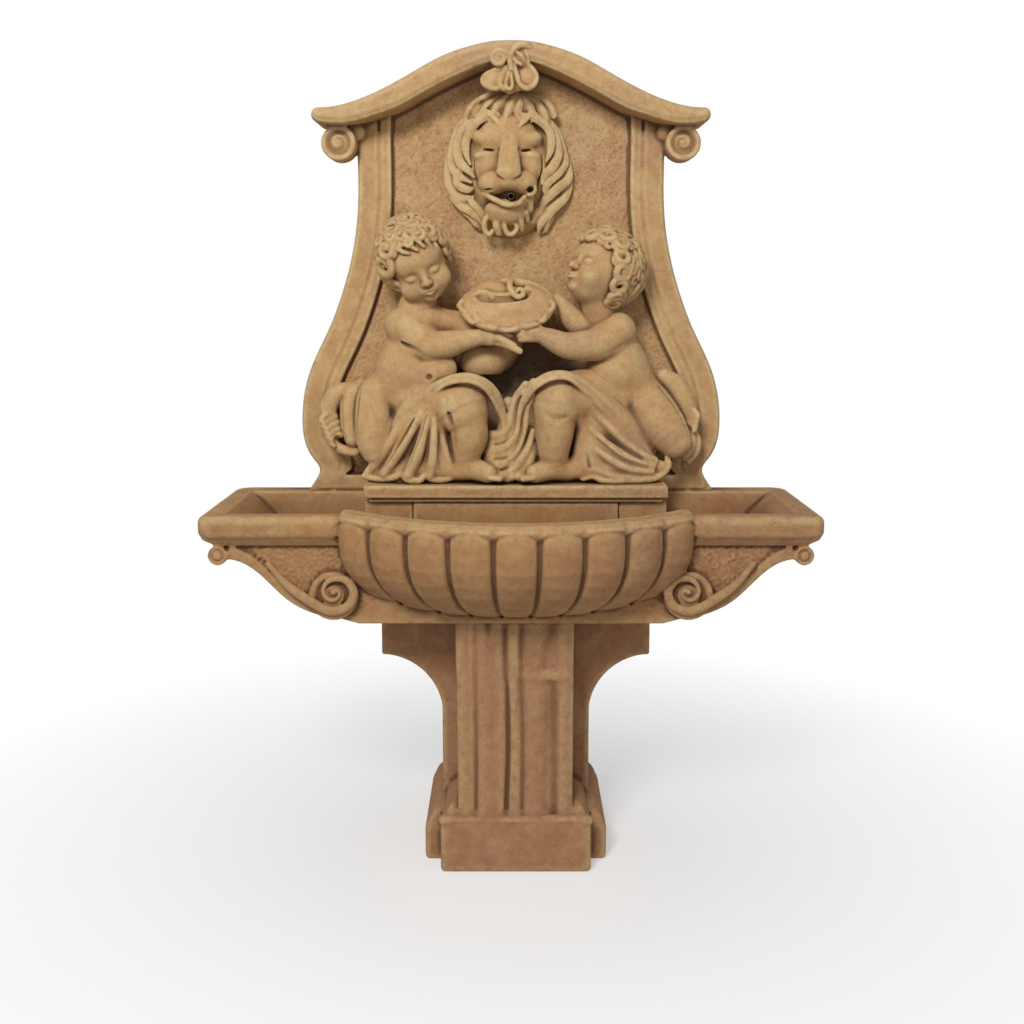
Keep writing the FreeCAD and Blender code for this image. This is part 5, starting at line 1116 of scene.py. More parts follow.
def makeLeftPutto():
    clay = Clay((-424, 34, 772), (44, 214, 1160), bodySize["step"])
    # trunk
    clay.rope([(-246, 158, 965, 52), (-226, 152, 1008, 60), (-208, 150, 1056, 57), (-196, 150, 1096, 49)], 0, False, 4)
    balls(clay, [((-184, 136, 1002), (66, 50, 50), 14), ((-186, 136, 1066), (54, 46, 38), 12),
                 ((-232, 138, 1102), (30, 34, 28), 10), ((-194, 142, 1118), (44, 36, 30), 12),
                 ((-228, 140, 1106), (34, 34, 30), 12)])
    clay.limb((-160, 152, 1112), (-118, 160, 1104), 30, 26, 10)
    clay.rope([(-118, 160, 1104, 26), (-84, 150, 1086, 22), (-58, 128, 1080, 18), (-34, 110, 1084, 15)], 6)
    clay.ball((-148, 104, 1012), (36, 22, 34), 14)
    clay.ball((-168, 86, 996), (5, 6, 5), 8, None, True)
    # near arm
    clay.rope([(-222, 126, 1100, 39), (-196, 114, 1080, 37), (-168, 104, 1062, 31)], 8, False, 4)
    clay.rope([(-166, 103, 1060, 30), (-130, 94, 1064, 28), (-98, 88, 1072, 22), (-64, 84, 1079, 17)], 5, False, 4)
    ropes(clay, [[(-222, 96, 1068, 3), (-196, 80, 1050, 5), (-172, 76, 1034, 5), (-146, 78, 1030, 3)]], 8, True)
    ropes(clay, [[(-72, 64, 1096, 1.8), (-70, 64, 1080, 2.6), (-72, 68, 1063, 1.8)]], 2.5, True)
    hand(clay, (-56, 84, 1081), (1, -0.05, -0.02), 30, 10.5, 9, 6, (30, -6, 4))
    clay.rope([(-20, 80, 1070, 9), (0, 73, 1060, 8), (18, 69, 1051, 7)], 3)
    clay.rope([(-26, 78, 1078, 9), (-8, 73, 1070, 7.5), (6, 70, 1062, 6.5)], 2.5)
    # kneeling leg seen end on, its shin and foot folded back beside it
    clay.rope([(-262, 160, 975, 40), (-284, 142, 952, 39), (-289, 124, 905, 38), (-290, 112, 862, 34),
               (-284, 106, 838, 27)], 7, False, 4)
    clay.rope([(-316, 166, 966, 22), (-336, 154, 946, 23), (-340, 142, 902, 21), (-332, 132, 864, 19)], 4, False, 4)
    clay.rope([(-344, 164, 964, 17), (-368, 160, 956, 20), (-386, 156, 928, 20), (-384, 152, 900, 17)], 5, False, 4)
    ropes(clay, [[(-318, 126, 970, 3), (-321, 112, 930, 4.5), (-322, 106, 880, 4.5), (-316, 104, 842, 3)],
                 [(-356, 136, 950, 2.5), (-360, 130, 915, 4), (-357, 126, 876, 3.5)]], 7, True)
    for i in range(5):
        x, z = -400 + 5.0 * i, 908 - 12 * i
        clay.rope([(x + 22, 148, z + 12, 8), (x + 8, 138, z + 5, 7.5), (x + 1, 132, z - 5, 6.5),
                   (x + 7, 130, z - 12, 5)],
                  1.4, False, 3)
    clay.ball((-366, 132, 862), (8, 14, 8), 2, None, True)
    clay.rope([(-378, 146, 852, 9), (-356, 142, 838, 11), (-330, 136, 836, 12)], 4)
    # raised knee and shin
    clay.rope([(-206, 152, 950, 56), (-150, 124, 950, 56), (-102, 98, 934, 55)], 8, False, 4)
    clay.rope([(-101, 90, 930, 54), (-90, 84, 905, 41), (-86, 82, 876, 38), (-90, 84, 844, 30), (-92, 88, 820, 27)],
              5, False, 5)
    clay.ball((-142, 98, 912), (20, 30, 42), 5, turn(0, 8))
    ropes(clay, [[(-128, 58, 952, 2), (-124, 50, 918, 4), (-120, 52, 884, 4), (-118, 60, 856, 2.5)],
                 [(-118, 56, 826, 2), (-96, 51, 820, 2.5), (-70, 56, 826, 2)]], 10, True)
    foot(clay, (-112, 96, 803), (-48, 66, 799), (-12, 56, 790), 24, (0.25, -0.75, -0.15))
    # cloth: a mound over the far hip, a sheet that hangs to the ledge, a band of folds over the knee
    ropes(clay, [
        [(-258, 132, 796, 30), (-228, 126, 850, 40), (-204, 122, 900, 42), (-176, 114, 940, 34)],
        [(-288, 112, 790, 18), (-230, 108, 796, 28), (-176, 104, 806, 32), (-136, 100, 806, 26)],
        [(-168, 116, 930, 36), (-164, 112, 880, 38), (-156, 108, 830, 38)]], 12, False, 4)
    ropes(clay, [
        [(-228, 98, 900, 9), (-250, 96, 862, 11), (-280, 98, 820, 11), (-300, 98, 797, 8)],
        [(-176, 82, 936, 7), (-204, 80, 890, 10), (-234, 82, 842, 12), (-264, 88, 797, 10)],
        [(-166, 78, 938, 6), (-178, 72, 890, 9), (-192, 70, 840, 12), (-212, 76, 796, 12)],
        [(-158, 76, 936, 5), (-158, 70, 884, 8), (-160, 70, 836, 10), (-168, 76, 794, 10)],
        [(-148, 82, 900, 5), (-138, 80, 856, 7), (-126, 82, 806, 8)]], 5.0)
    ropes(clay, [
        [(-306, 98, 789, 7), (-276, 92, 784, 7), (-246, 86, 788, 8), (-226, 80, 796, 7), (-214, 76, 786, 8),
         (-190, 74, 784, 8), (-176, 74, 796, 6), (-166, 78, 786, 7), (-140, 80, 784, 7), (-124, 84, 787, 6)]], 3.0)
    ropes(clay, [
        [(-186, 82, 926, 2.5), (-216, 78, 880, 5.5), (-250, 80, 832, 6), (-282, 88, 796, 3.5)],
        [(-172, 72, 920, 2), (-192, 66, 868, 4.5), (-214, 66, 820, 5), (-236, 74, 792, 3)],
        [(-164, 68, 915, 2), (-170, 62, 872, 3), (-178, 62, 836, 2.5)],
        [(-148, 72, 880, 3), (-146, 66, 840, 5.5), (-146, 70, 796, 4)],
        [(-200, 66, 800, 2.5), (-196, 62, 788, 4), (-192, 64, 778, 3)],
        [(-262, 112, 905, 6), (-270, 104, 868, 7), (-292, 102, 826, 7), (-312, 104, 796, 5)]], 2.2, True)
    band(clay, [(-238, 104, 905), (-222, 100, 942), (-190, 92, 966), (-152, 78, 988), (-117, 66, 1003),
                (-83, 60, 1006), (-48, 62, 993), (-24, 74, 966), (-12, 88, 928), (-10, 94, 895)],
         [(-240, 100, 888), (-214, 94, 908), (-176, 80, 940), (-146, 64, 972), (-118, 52, 986), (-84, 46, 988),
          (-56, 52, 974), (-38, 68, 948), (-24, 86, 915), (-14, 92, 885)], 4)
    middleCloth(clay)
    clay.trim(0, bodySize["fingerX"], False)
    clay.merge(*middleCut(clay, 1))
    clay.trim(1, fieldCut, False)
    clay.trim(2, ledgeCut, True)
    clay.soften(1)
    return bake(clay, "left_putto_stone", bodySize["faces"])


def middleCut(clay, side):
    # what lies past the middle belongs to the other figure, but for a reaching finger above it
    s = bodySize
    x = clay.low[0] + clay.step * np.arange(clay.field.shape[0])
    z = clay.low[2] + clay.step * np.arange(clay.field.shape[2])
    past = side * x[:, None, None] - s["gap"] - np.clip((z[None, None, :] - s["fingerZ"]) * 1.5, 0, 60) * (side > 0)
    cut = tuple(slice(0, n) for n in clay.field.shape)
    return cut, np.broadcast_to(-past, clay.field.shape).astype(np.float32), 0.0, True


def makeRightPutto():
    clay = Clay((-10, 34, 772), (430, 214, 1172), bodySize["step"])
    clay.rope([(262, 160, 962, 50), (238, 156, 1004, 57), (214, 152, 1052, 54), (196, 150, 1090, 47)], 0, False, 4)
    balls(clay, [((214, 138, 1004), (56, 48, 50), 12), ((196, 136, 1068), (50, 44, 38), 12),
                 ((230, 146, 1080), (28, 32, 34), 10)])
    clay.rope([(96, 150, 1160, 8), (110, 146, 1142, 15), (128, 142, 1116, 24), (154, 144, 1096, 30)], 6, False, 4)
    # near arm
    clay.rope([(222, 122, 1092, 37), (184, 106, 1066, 35), (148, 96, 1060, 31)], 8, False, 4)
    clay.rope([(146, 95, 1060, 30), (112, 90, 1062, 27), (84, 86, 1074, 22), (62, 84, 1083, 17)], 5, False, 4)
    ropes(clay, [[(228, 88, 1058, 3), (200, 74, 1042, 5), (168, 70, 1030, 5), (146, 74, 1026, 3)]], 8, True)
    ropes(clay, [[(68, 64, 1100, 1.8), (66, 62, 1085, 2.6), (68, 66, 1066, 1.8)]], 2.5, True)
    clay.ball((44, 80, 1090), (22, 14, 22), 6)
    for x, z in ((24, 1104), (19, 1095), (18, 1085), (22, 1076)):
        clay.rope([(x + 20, 78, z + 1, 8), (x + 6, 70, z, 7.5), (x - 2, 74, z - 1, 6.5)], 1.6, False, 3)
    # kneeling leg
    clay.rope([(262, 160, 970, 42), (288, 144, 936, 48), (318, 128, 892, 48), (344, 116, 858, 35)], 7, False, 4)
    clay.rope([(326, 172, 990, 18), (348, 168, 972, 24), (370, 162, 934, 24), (380, 158, 902, 17)], 5, False, 4)
    ropes(clay, [[(312, 126, 974, 2.5), (336, 115, 944, 3.5), (358, 109, 900, 3.5), (368, 108, 868, 2.5)]], 9, True)
    for i in range(4):
        x, z = 394 - 2 * i, 914 - 9 * i
        clay.rope([(x - 18, 152, z + 16, 8), (x - 6, 142, z + 6, 7), (x, 136, z - 3, 6), (x - 2, 134, z - 8, 5)], 1.4,
                  False, 3)
    ropes(clay, [[(372, 150, 880, 8), (384, 146, 862, 8), (382, 142, 840, 8), (366, 136, 822, 7)],
                 [(388, 156, 880, 7), (398, 152, 856, 7), (394, 148, 832, 7), (376, 144, 812, 6)]], 5)
    # raised knee, shin and foot
    clay.rope([(214, 152, 954, 54), (158, 124, 958, 54), (102, 98, 946, 53)], 8, False, 4)
    clay.rope([(97, 91, 944, 53), (92, 87, 916, 44), (90, 84, 884, 40), (88, 84, 846, 33), (90, 88, 820, 28)], 6,
              False, 5)
    clay.ball((138, 100, 924), (18, 28, 34), 5, turn(0, -8))
    ropes(clay, [[(62, 44, 926, 2), (88, 39, 916, 3), (112, 44, 918, 2)],
                 [(64, 55, 828, 2), (88, 51, 820, 2.5), (114, 56, 828, 2)]], 10, True)
    foot(clay, (116, 96, 803), (50, 66, 799), (13, 56, 790), 24, (-0.25, -0.75, -0.15))
    # cloth
    ropes(clay, [
        [(290, 128, 800, 28), (256, 124, 846, 38), (220, 120, 896, 40), (176, 114, 940, 34)],
        [(306, 112, 790, 18), (250, 108, 798, 28), (196, 104, 806, 32), (146, 100, 806, 26)],
        [(172, 116, 930, 36), (170, 112, 880, 38), (166, 108, 830, 38)]], 12, False, 4)
    ropes(clay, [
        [(166, 84, 930, 6), (196, 84, 902, 9), (232, 86, 868, 10), (268, 90, 838, 10), (300, 94, 822, 8)],
        [(166, 80, 890, 7), (192, 78, 862, 10), (226, 80, 838, 11), (262, 84, 820, 9), (296, 90, 812, 7)],
        [(180, 76, 846, 7), (212, 76, 824, 10), (250, 80, 806, 10), (292, 88, 800, 8)],
        [(172, 78, 806, 8), (204, 76, 794, 9), (240, 78, 788, 9), (284, 86, 787, 8)]], 5.0)
    ropes(clay, [
        [(150, 84, 786, 6), (170, 78, 792, 7), (190, 74, 785, 8), (226, 74, 784, 8), (262, 80, 784, 8),
         (296, 88, 786, 8), (318, 98, 796, 8), (330, 104, 812, 7), (326, 108, 826, 5)]], 3.0)
    ropes(clay, [
        [(168, 76, 916, 2), (200, 74, 884, 5), (234, 76, 852, 5.5), (272, 82, 828, 3.5)],
        [(176, 72, 872, 2), (206, 68, 844, 5), (238, 70, 824, 5), (284, 80, 810, 3)],
        [(184, 68, 828, 3), (216, 66, 808, 5), (252, 70, 797, 4), (300, 82, 792, 2.5)],
        [(146, 74, 900, 4), (152, 68, 856, 6), (162, 70, 812, 4.5)],
        [(150, 72, 800, 2), (180, 68, 798, 2.5), (200, 68, 790, 2)]], 2.2, True)
    band(clay, [(8, 88, 905), (12, 84, 930), (26, 68, 968), (46, 58, 992), (80, 54, 1010), (116, 58, 1010),
                (150, 72, 994), (196, 88, 962), (236, 100, 925), (262, 104, 880), (290, 104, 842), (304, 102, 824)],
         [(22, 90, 900), (26, 84, 925), (40, 64, 958), (58, 46, 980), (84, 40, 994), (114, 44, 994), (142, 58, 974),
          (172, 74, 944), (206, 88, 908), (236, 94, 866), (268, 96, 832), (292, 96, 812)], 4)
    middleCloth(clay)
    clay.merge(*middleCut(clay, -1))
    clay.trim(1, fieldCut, False)
    clay.ball((308, 104, 806), (20, 12, 16), 4)
    clay.trim(2, ledgeCut, True)
    clay.soften(1)
    return bake(clay, "right_putto_stone", bodySize["faces"])


# Shell dish: a smooth apron that tips towards the viewer, a wavy rim, the back edge rolled into a curl

dishSize = {"centre": (-9.0, 102.0, 1140.0), "half": (98.0, 66.0, 17.0), "lean": 50.0, "step": 1.5, "faces": 120000}


def makeDish():
    s = dishSize
    clay = Clay((-122, 30, 1000), (102, 214, 1216), s["step"])
    tilted = turn(s["lean"])
    cx, cy, cz = s["centre"]
    clay.ball(s["centre"], s["half"], 0, tilted)
    clay.ball((cx, cy + 24, cz - 10), (86, 58, 38), 8)
    clay.limb((cx, cy + 44, cz - 48), (cx - 22, cy + 80, cz - 96), 42, 50, 12)
    clay.ball((-58, 152, 1026), (50, 44, 40), 8)
    c, n = math.cos(math.radians(s["lean"])), math.sin(math.radians(s["lean"]))

    def onDish(angle, out, up=0.0):
        # degrees from the right; out is a share of the disc, up is along its own axis
        u, w = s["half"][0] * out * math.cos(math.radians(angle)), s["half"][1] * out * math.sin(math.radians(angle))
        return cx + u, cy + w * c - up * n, cz + w * n + up * c

    rim = []
    for k in range(37):
        angle = -190 + 200 * k / 36
        rim.append((*onDish(angle, 0.95 + 0.035 * math.cos(math.radians(angle * 8)), 5.0), 5.0))
    clay.rope(rim, 4.0, False, 2)
    for angle, deep in ((-158, 5), (-128, 7), (-100, 6), (-72, 7), (-46, 6), (-20, 4)):
        clay.rope([(*onDish(angle, 1.12, -5), deep), (*onDish(angle, 1.0, 6), deep * 0.5),
                   (*onDish(angle, 0.84, 14), 1.2)],
                  7, True)
    clay.rope([(*onDish(-150, 0.72, 15), 2), (*onDish(-128, 0.78, 15), 3), (*onDish(-104, 0.76, 16), 3),
               (*onDish(-80, 0.80, 15), 2)], 6, True)
    # hollow with its rolled back rim
    hollow = []
    for u, w, r in ((-66, 34, 8), (-48, 14, 11), (-20, 3, 13), (8, 4, 13), (32, 16, 11), (46, 32, 8)):
        hollow.append((cx + u, cy + w * c - 15 * n, cz + w * n + 15 * c, r))
    clay.rope(hollow, 4, True, 4)
    clay.ball((cx - 8, cy + 34, cz + 44), (48, 30, 20), 6, turn(20), True)
    clay.ball((-40, 140, 1174), (32, 20, 20), 8)
    clay.rope([(-106, 112, 1142, 7), (-92, 132, 1158, 7), (-64, 148, 1172, 8), (-34, 154, 1184, 9),
               (-8, 154, 1190, 10), (14, 150, 1190, 9), (44, 146, 1184, 8), (70, 134, 1170, 8), (86, 114, 1146, 8)], 4)
    clay.rope([(4, 150, 1192, 7), (-2, 130, 1190, 6.5), (-2, 114, 1180, 6.5), (4, 104, 1168, 6.5), (14, 98, 1160, 6.5),
               (24, 100, 1164, 6), (25, 105, 1173, 5), (17, 107, 1177, 4.5), (12, 106, 1170, 3.5)], 2.5)
    clay.rope([(-84, 108, 1150, 5), (-76, 116, 1164, 5.5), (-60, 118, 1170, 5.5), (-44, 112, 1166, 5),
               (-38, 106, 1158, 4)], 3)
    clay.ball((-22, 132, 1164), (28, 18, 20), 8)
    clay.trim(1, fieldCut, False)
    clay.soften(1)
    return bake(clay, "shell_dish_stone", s["faces"])


# Crown ornament: two curls of the cornice over a fan of petals

crownSize = {"frontY": 112.0, "step": 1.3, "faces": 90000}


def makeCrown():
    s = crownSize
    clay = Clay((-78, 98, 1562), (70, 214, 1672), s["step"])
    y = s["frontY"]
    clay.ball((2, 146, 1634), (44, 28, 26))
    clay.ball((-2, 134, 1600), (54, 18, 26), 6)
    clay.rope(spiral((-24, y + 1, 1637), 16.5, 3, 1.7, 40, 1, 6.2, 4.0), 1.0)
    clay.ball((-24, y + 8, 1637), (16, 9, 16), 3)
    clay.rope([(-9, y + 2, 1640, 5), (-8, y + 4, 1654, 4.5), (-11, y + 8, 1664, 4)], 2)
    clay.rope([(0, y, 1616, 5.0), (-2, y - 1, 1636, 6.2), (4, y, 1652, 7), (18, y + 2, 1662, 7.5),
               (36, y + 6, 1661, 7.5), (54, y + 12, 1652, 6)], 2.0)
    clay.ball((20, y + 8, 1638), (20, 10, 18), 4)
    ropes(clay, [[(12, y - 1, 1648, 3), (22, y - 2, 1640, 3.5), (28, y, 1630, 3)],
                 [(30, y, 1650, 3), (34, y - 1, 1640, 3), (36, y + 1, 1630, 3)],
                 [(4, y - 1, 1640, 3), (10, y - 2, 1630, 3), (20, y - 1, 1624, 3)]], 2.0)
    ropes(clay, [[(8, y - 4, 1644, 1.5), (16, y - 4, 1634, 2.2), (24, y - 3, 1626, 1.5)],
                 [(26, y - 3, 1648, 1.5), (30, y - 3, 1636, 2.0)]], 1.2, True)
    # narrow middle leaf
    clay.rope([(-1, y + 4, 1620, 3.2), (-7, y + 3, 1602, 3.4), (-10, y + 5, 1584, 4), (-3, y + 6, 1577, 4),
               (3, y + 5, 1584, 4), (1, y + 3, 1602, 3.2), (-1, y + 4, 1620, 3)], 2.5)
    clay.limb((-1, y + 14, 1618), (-3, y + 22, 1584), 7, 14, 3)
    # right petal with its eye, left petals
    clay.rope([(6, y + 3, 1624, 4.5), (12, y, 1604, 5), (18, y, 1586, 5), (32, y + 1, 1578, 5.5),
               (47, y + 4, 1586, 5.5), (52, y + 6, 1602, 5), (44, y + 6, 1616, 5), (34, y + 5, 1626, 4.5)], 4)
    clay.ball((33, y + 12, 1600), (20, 12, 22), 5)
    clay.ball((35, y + 8, 1598), (7, 7, 7), 1)
    ropes(clay, [[(-8, y + 6, 1620, 4), (-18, y + 8, 1604, 5), (-22, y + 9, 1588, 5.5), (-14, y + 9, 1578, 5)],
                 [(-14, y + 9, 1622, 4), (-32, y + 11, 1616, 4.5), (-50, y + 14, 1606, 5), (-56, y + 16, 1592, 5.5),
                  (-44, y + 14, 1582, 5.5), (-28, y + 11, 1579, 5)],
                 [(-18, y + 12, 1616, 3), (-34, y + 13, 1600, 4), (-40, y + 14, 1588, 4)]], 4)
    clay.ball((-36, y + 20, 1598), (26, 13, 18), 6)
    clay.rope([(0, 146, 1606, 20), (-2, 184, 1596, 20), (0, 206, 1590, 18)], 8)
    clay.trim(1, fieldCut, False)
    clay.soften(1)
    return bake(clay, "crown_ornament_stone", s["faces"])


# Stippled ground: a thin closed sheet over the sunk field, raised into small worm-like lumps by its node tree

stippleSize = {"cell": 2.4, "front": 207.9, "back": 211.5, "height": 0.0015, "wave": 0.0066, "seed": 7,
               "overlap": 12.0, "halfWidth": 372.0, "tall": 850.0, "ahead": 0.15, "behindFace": 213.5,
               "beforeFace": 205.0, "clearAt": 206.5}


def lumpTree():
    # node tree with named inputs: height and wave in metres, seed, and the material it sets
    tree = bpy.data.node_groups.new("field_stipple", "GeometryNodeTree")
    face = tree.interface
    face.new_socket("Geometry", in_out="INPUT", socket_type="NodeSocketGeometry")
    ids = {}
    for name, kind in (("height", "NodeSocketFloat"), ("wave", "NodeSocketFloat"), ("seed", "NodeSocketFloat"),
                       ("material", "NodeSocketMaterial")):
        ids[name] = face.new_socket(name, in_out="INPUT", socket_type=kind).identifier
    face.new_socket("Geometry", in_out="OUTPUT", socket_type="NodeSocketGeometry")
    start = tree.nodes.new("NodeGroupInput")
    end = tree.nodes.new("NodeGroupOutput")

    given = start.outputs

    def add(kind, settings=None, values=None):
        return addNode(tree, kind, settings, values).outputs[0]

    def maths(operation, a, b):
        return add("ShaderNodeMath", {"operation": operation}, {0: a, 1: b})

    place = add("GeometryNodeInputPosition")
    scale = maths("DIVIDE", 1.0, given["wave"])
    worms = add("ShaderNodeTexNoise", {"noise_dimensions": "4D"},
                {"Vector": place, "W": given["seed"], "Scale": scale, "Detail": 1.0, "Distortion": 0.6})
    ridge = maths("SUBTRACT", 1.0, maths("MULTIPLY", maths("ABSOLUTE", maths("SUBTRACT", worms, 0.5), 0.0), 7.0))
    broad = add("ShaderNodeTexNoise", {"noise_dimensions": "4D"},
                {"Vector": place, "W": given["seed"], "Scale": maths("MULTIPLY", scale, 0.3), "Detail": 2.0})
    mask = add("GeometryNodeInputNamedAttribute", {"data_type": "FLOAT"}, {"Name": "lump"})
    rise = maths("MULTIPLY", maths("ADD", ridge, broad), maths("MULTIPLY", mask, given["height"]))
    away = add("ShaderNodeCombineXYZ", {}, {"Y": maths("MULTIPLY", rise, -1.0)})
    moved = add("GeometryNodeSetPosition", {}, {"Geometry": given["Geometry"], "Offset": away})
    kept = add("GeometryNodeStoreNamedAttribute", {"data_type": "FLOAT", "domain": "POINT"},
               {"Geometry": moved, "Name": "ridge", "Value": ridge})
    whole = add("GeometryNodeRealizeInstances", {}, {"Geometry": kept})
    done = add("GeometryNodeSetMaterial", {}, {"Geometry": whole, "Material": given["material"]})
    tree.links.new(done, end.inputs["Geometry"])
    return tree, ids


def bareField(panel, others, low, count):
    # cells whose middle is open sunk field
    s = stippleSize
    cell = s["cell"]
    x = low[0] + cell * (np.arange(count[0]) + 0.5)
    z = low[1] + cell * (np.arange(count[1]) + 0.5)
    flat = np.stack(np.meshgrid(x, z, indexing="ij"), -1).reshape(-1, 2)

    def at(clay, y):
        points = np.stack([flat[:, 0], np.full(len(flat), float(y)), flat[:, 1]], 1)
        size = np.array(clay.field.shape) * clay.step
        inside = ((points >= clay.low) & (points <= clay.low + size)).all(1)
        return np.where(inside, sample(clay.field, clay.low, clay.step, points), far)

    bare = (at(panel, s["behindFace"]) < -1.5) & (at(panel, s["beforeFace"]) > 2.0)
    for clay in others:
        bare &= at(clay, s["clearAt"]) > -3.0
    bare = bare.reshape(tuple(count))
    bare[0] = bare[-1] = False
    bare[:, 0] = bare[:, -1] = False
    for _ in range(2):
        less = bare.copy()
        for axis in range(2):
            less &= np.roll(bare, 1, axis) & np.roll(bare, -1, axis)
        bare = less
    more = bare.copy()
    for axis in range(2):
        more |= np.roll(bare, 1, axis) | np.roll(bare, -1, axis)
    bare = more
    # no two cells that meet only at a corner
    for _ in range(6):
        a, b, c, d = bare[:-1, :-1], bare[1:, :-1], bare[:-1, 1:], bare[1:, 1:]
        pinch = (a & d & ~b & ~c) | (b & c & ~a & ~d)
        i, k = np.nonzero(pinch)
        bare[i, k] = False
        bare[i + 1, k] = False
    return bare


def makeStipple(panel, others, material):
    s = stippleSize
    cell = s["cell"]
    tree, ids = lumpTree()
    pieces = []
    for side in ("left", "right"):
        low = np.array([-s["halfWidth"] if side == "left" else -s["overlap"], ledgeCut])
        count = np.ceil(np.array([s["halfWidth"] + s["overlap"], s["tall"]]) / cell).astype(int)
        y = s["front"] + (0.0 if side == "left" else s["ahead"])
        bare = bareField(panel, others, low, count)
        index = -np.ones((count[0] + 1, count[1] + 1), int)
        corner = np.zeros(index.shape, bool)
        whole = np.ones(index.shape, bool)
        for di in (0, 1):
            for dk in (0, 1):
                corner[di:di + count[0], dk:dk + count[1]] |= bare
                whole[di:di + count[0], dk:dk + count[1]] &= bare
        whole[0] = whole[-1] = False
        index[corner] = np.arange(corner.sum())
        n = corner.sum()
        i, k = np.nonzero(corner)
        x, z = low[0] + cell * i, low[1] + cell * k
        points = np.vstack([np.stack([x, np.full(n, depth), z], 1) for depth in (y, s["back"])])
        i, k = np.nonzero(bare)
        front = np.stack([index[i, k], index[i + 1, k], index[i + 1, k + 1], index[i, k + 1]], 1)
        faces = [front, front[:, ::-1] + n]
        for di, dk, a, b in ((-1, 0, (0, 0), (0, 1)), (1, 0, (1, 1), (1, 0)), (0, -1, (1, 0), (0, 0)),
                             (0, 1, (0, 1), (1, 1))):
            i, k = np.nonzero(bare & ~np.roll(bare, (-di, -dk), (0, 1)))
            p, q = index[i + a[0], k + a[1]], index[i + b[0], k + b[1]]
            faces.append(np.stack([p, q, q + n, p + n], 1))
        mesh = meshFrom("field_" + side, points / 1000, np.vstack(faces))
        keep(mesh, "lump", np.concatenate([whole[corner], np.zeros(n)]))
        mesh.polygons.foreach_set("use_smooth", np.ones(len(mesh.polygons), bool))
        piece = link("stippled_field_" + side, mesh)
        live = piece.modifiers.new("lumps", "NODES")
        live.node_group = tree
        for name in ("height", "wave", "seed"):
            live[ids[name]] = float(s[name])
        live[ids["material"]] = material
        flatten(piece)
        pieces.append(piece)
        print("  ", piece.name, 2 * len(piece.data.polygons), "triangles")
    return pieces


def fieldShade(pieces, near, wide, low, cell):
    # the sheet takes its share of the shade too
    for piece in pieces:
        mesh = piece.data
        points = pointsOf(mesh) * 1000 + (0, -4, 0)
        ridge = np.empty(len(mesh.vertices), np.float32)
        mesh.attributes["ridge"].data.foreach_get("value", ridge)
        # painted shade in the valleys between the lumps and painted highlight on their ridges, through fine
        keep(mesh, "fine", np.clip((ridge - 0.45) * 0.55, -0.3, 0.25))
        keep(mesh, "near", sample(near, low, cell, points))
        keep(mesh, "wide", sample(wide, low, cell, points))


# Finishes of the hidden parts, one for each slot: two colours, roughness, metal, scale of the grain, depth of the bump

partLooks = {
    "pump_plastic": ((34, 35, 37), (48, 49, 52), 0.42, 0.0, 60.0, 0.00015),
    "impeller_plastic": ((150, 153, 156), (136, 139, 143), 0.38, 0.0, 80.0, 0.0001),
    "dial_plastic": ((186, 40, 30), (166, 32, 26), 0.3, 0.0, 70.0, 0.0001),
    "shaft_ceramic": ((236, 234, 228), (226, 223, 214), 0.18, 0.0, 120.0, 0.00005),
    "black_rubber": ((38, 38, 38), (54, 52, 50), 0.72, 0.0, 140.0, 0.0002),
    "brass": ((214, 172, 96), (160, 118, 62), 0.28, 1.0, 45.0, 0.00008),
    "chrome": ((226, 228, 230), (206, 209, 213), 0.08, 1.0, 60.0, 0.00003),
    "lever_paint": ((178, 30, 26), (150, 24, 22), 0.3, 0.0, 50.0, 0.00012),
    "clear_vinyl": ((226, 232, 226), (206, 214, 206), 0.16, 0.0, 40.0, 0.0001),
    "steel": ((198, 200, 203), (168, 170, 174), 0.32, 1.0, 90.0, 0.00008),
    "copper": ((96, 66, 50), (62, 46, 38), 0.5, 1.0, 55.0, 0.0001)}


def partFinish(name):
    base, other, roughness, metal, scale, depth = partLooks[name]
    f = Finish(name)
    stretch = (1.0, 1.0, 12.0) if name == "steel" else (1.0, 1.0, 1.0)
    place = f.node("ShaderNodeMapping", {}, {"Vector": f.place, "Scale": stretch})
    broad = f.noise(scale, 4.0, 0.6, 0.3, place)
    grain = f.noise(scale * 14, 2.0, 0.6, 0.0, place)
    colour = f.mix(broad.between(0.4, 0.7), base, other)
    rough = roughness + (broad - 0.5) * 0.16 + (grain - 0.5) * 0.08
    f.give(Base_Color=colour, Roughness=rough, Metallic=metal, Normal=f.bump(grain + broad * 0.5, depth, 0.7))
    if name == "lever_paint":
        f.give(Coat_Weight=0.5)
    if name == "clear_vinyl":
        f.give(Transmission_Weight=0.75, IOR=1.5)
    return f.material


# Scene: floor, backdrop, lamps and camera

camera = {"place": (0.0, -2.352, 1.183), "down": 7.4, "lens": 41.73, "sensor": 36, "shiftY": -0.0703, "shiftX": 0.001}
# place, size and power of each lamp
lamps = {"key": ((-1.0, -3.1, 3.2), 1.0, 110.0), "fill": ((2.8, -2.6, 1.5), 3.0, 14.0),
         "front": ((-0.4, -3.6, 1.0), 2.4, 10.0)}
room = {"ambient": 0.29, "floor": (252, 251, 250), "floorHalf": 4.0, "fadeFrom": 0.35, "fadeTo": 1.5, "cover": 0.6,
        "lampAim": (0.0, 0.0, 0.9)}


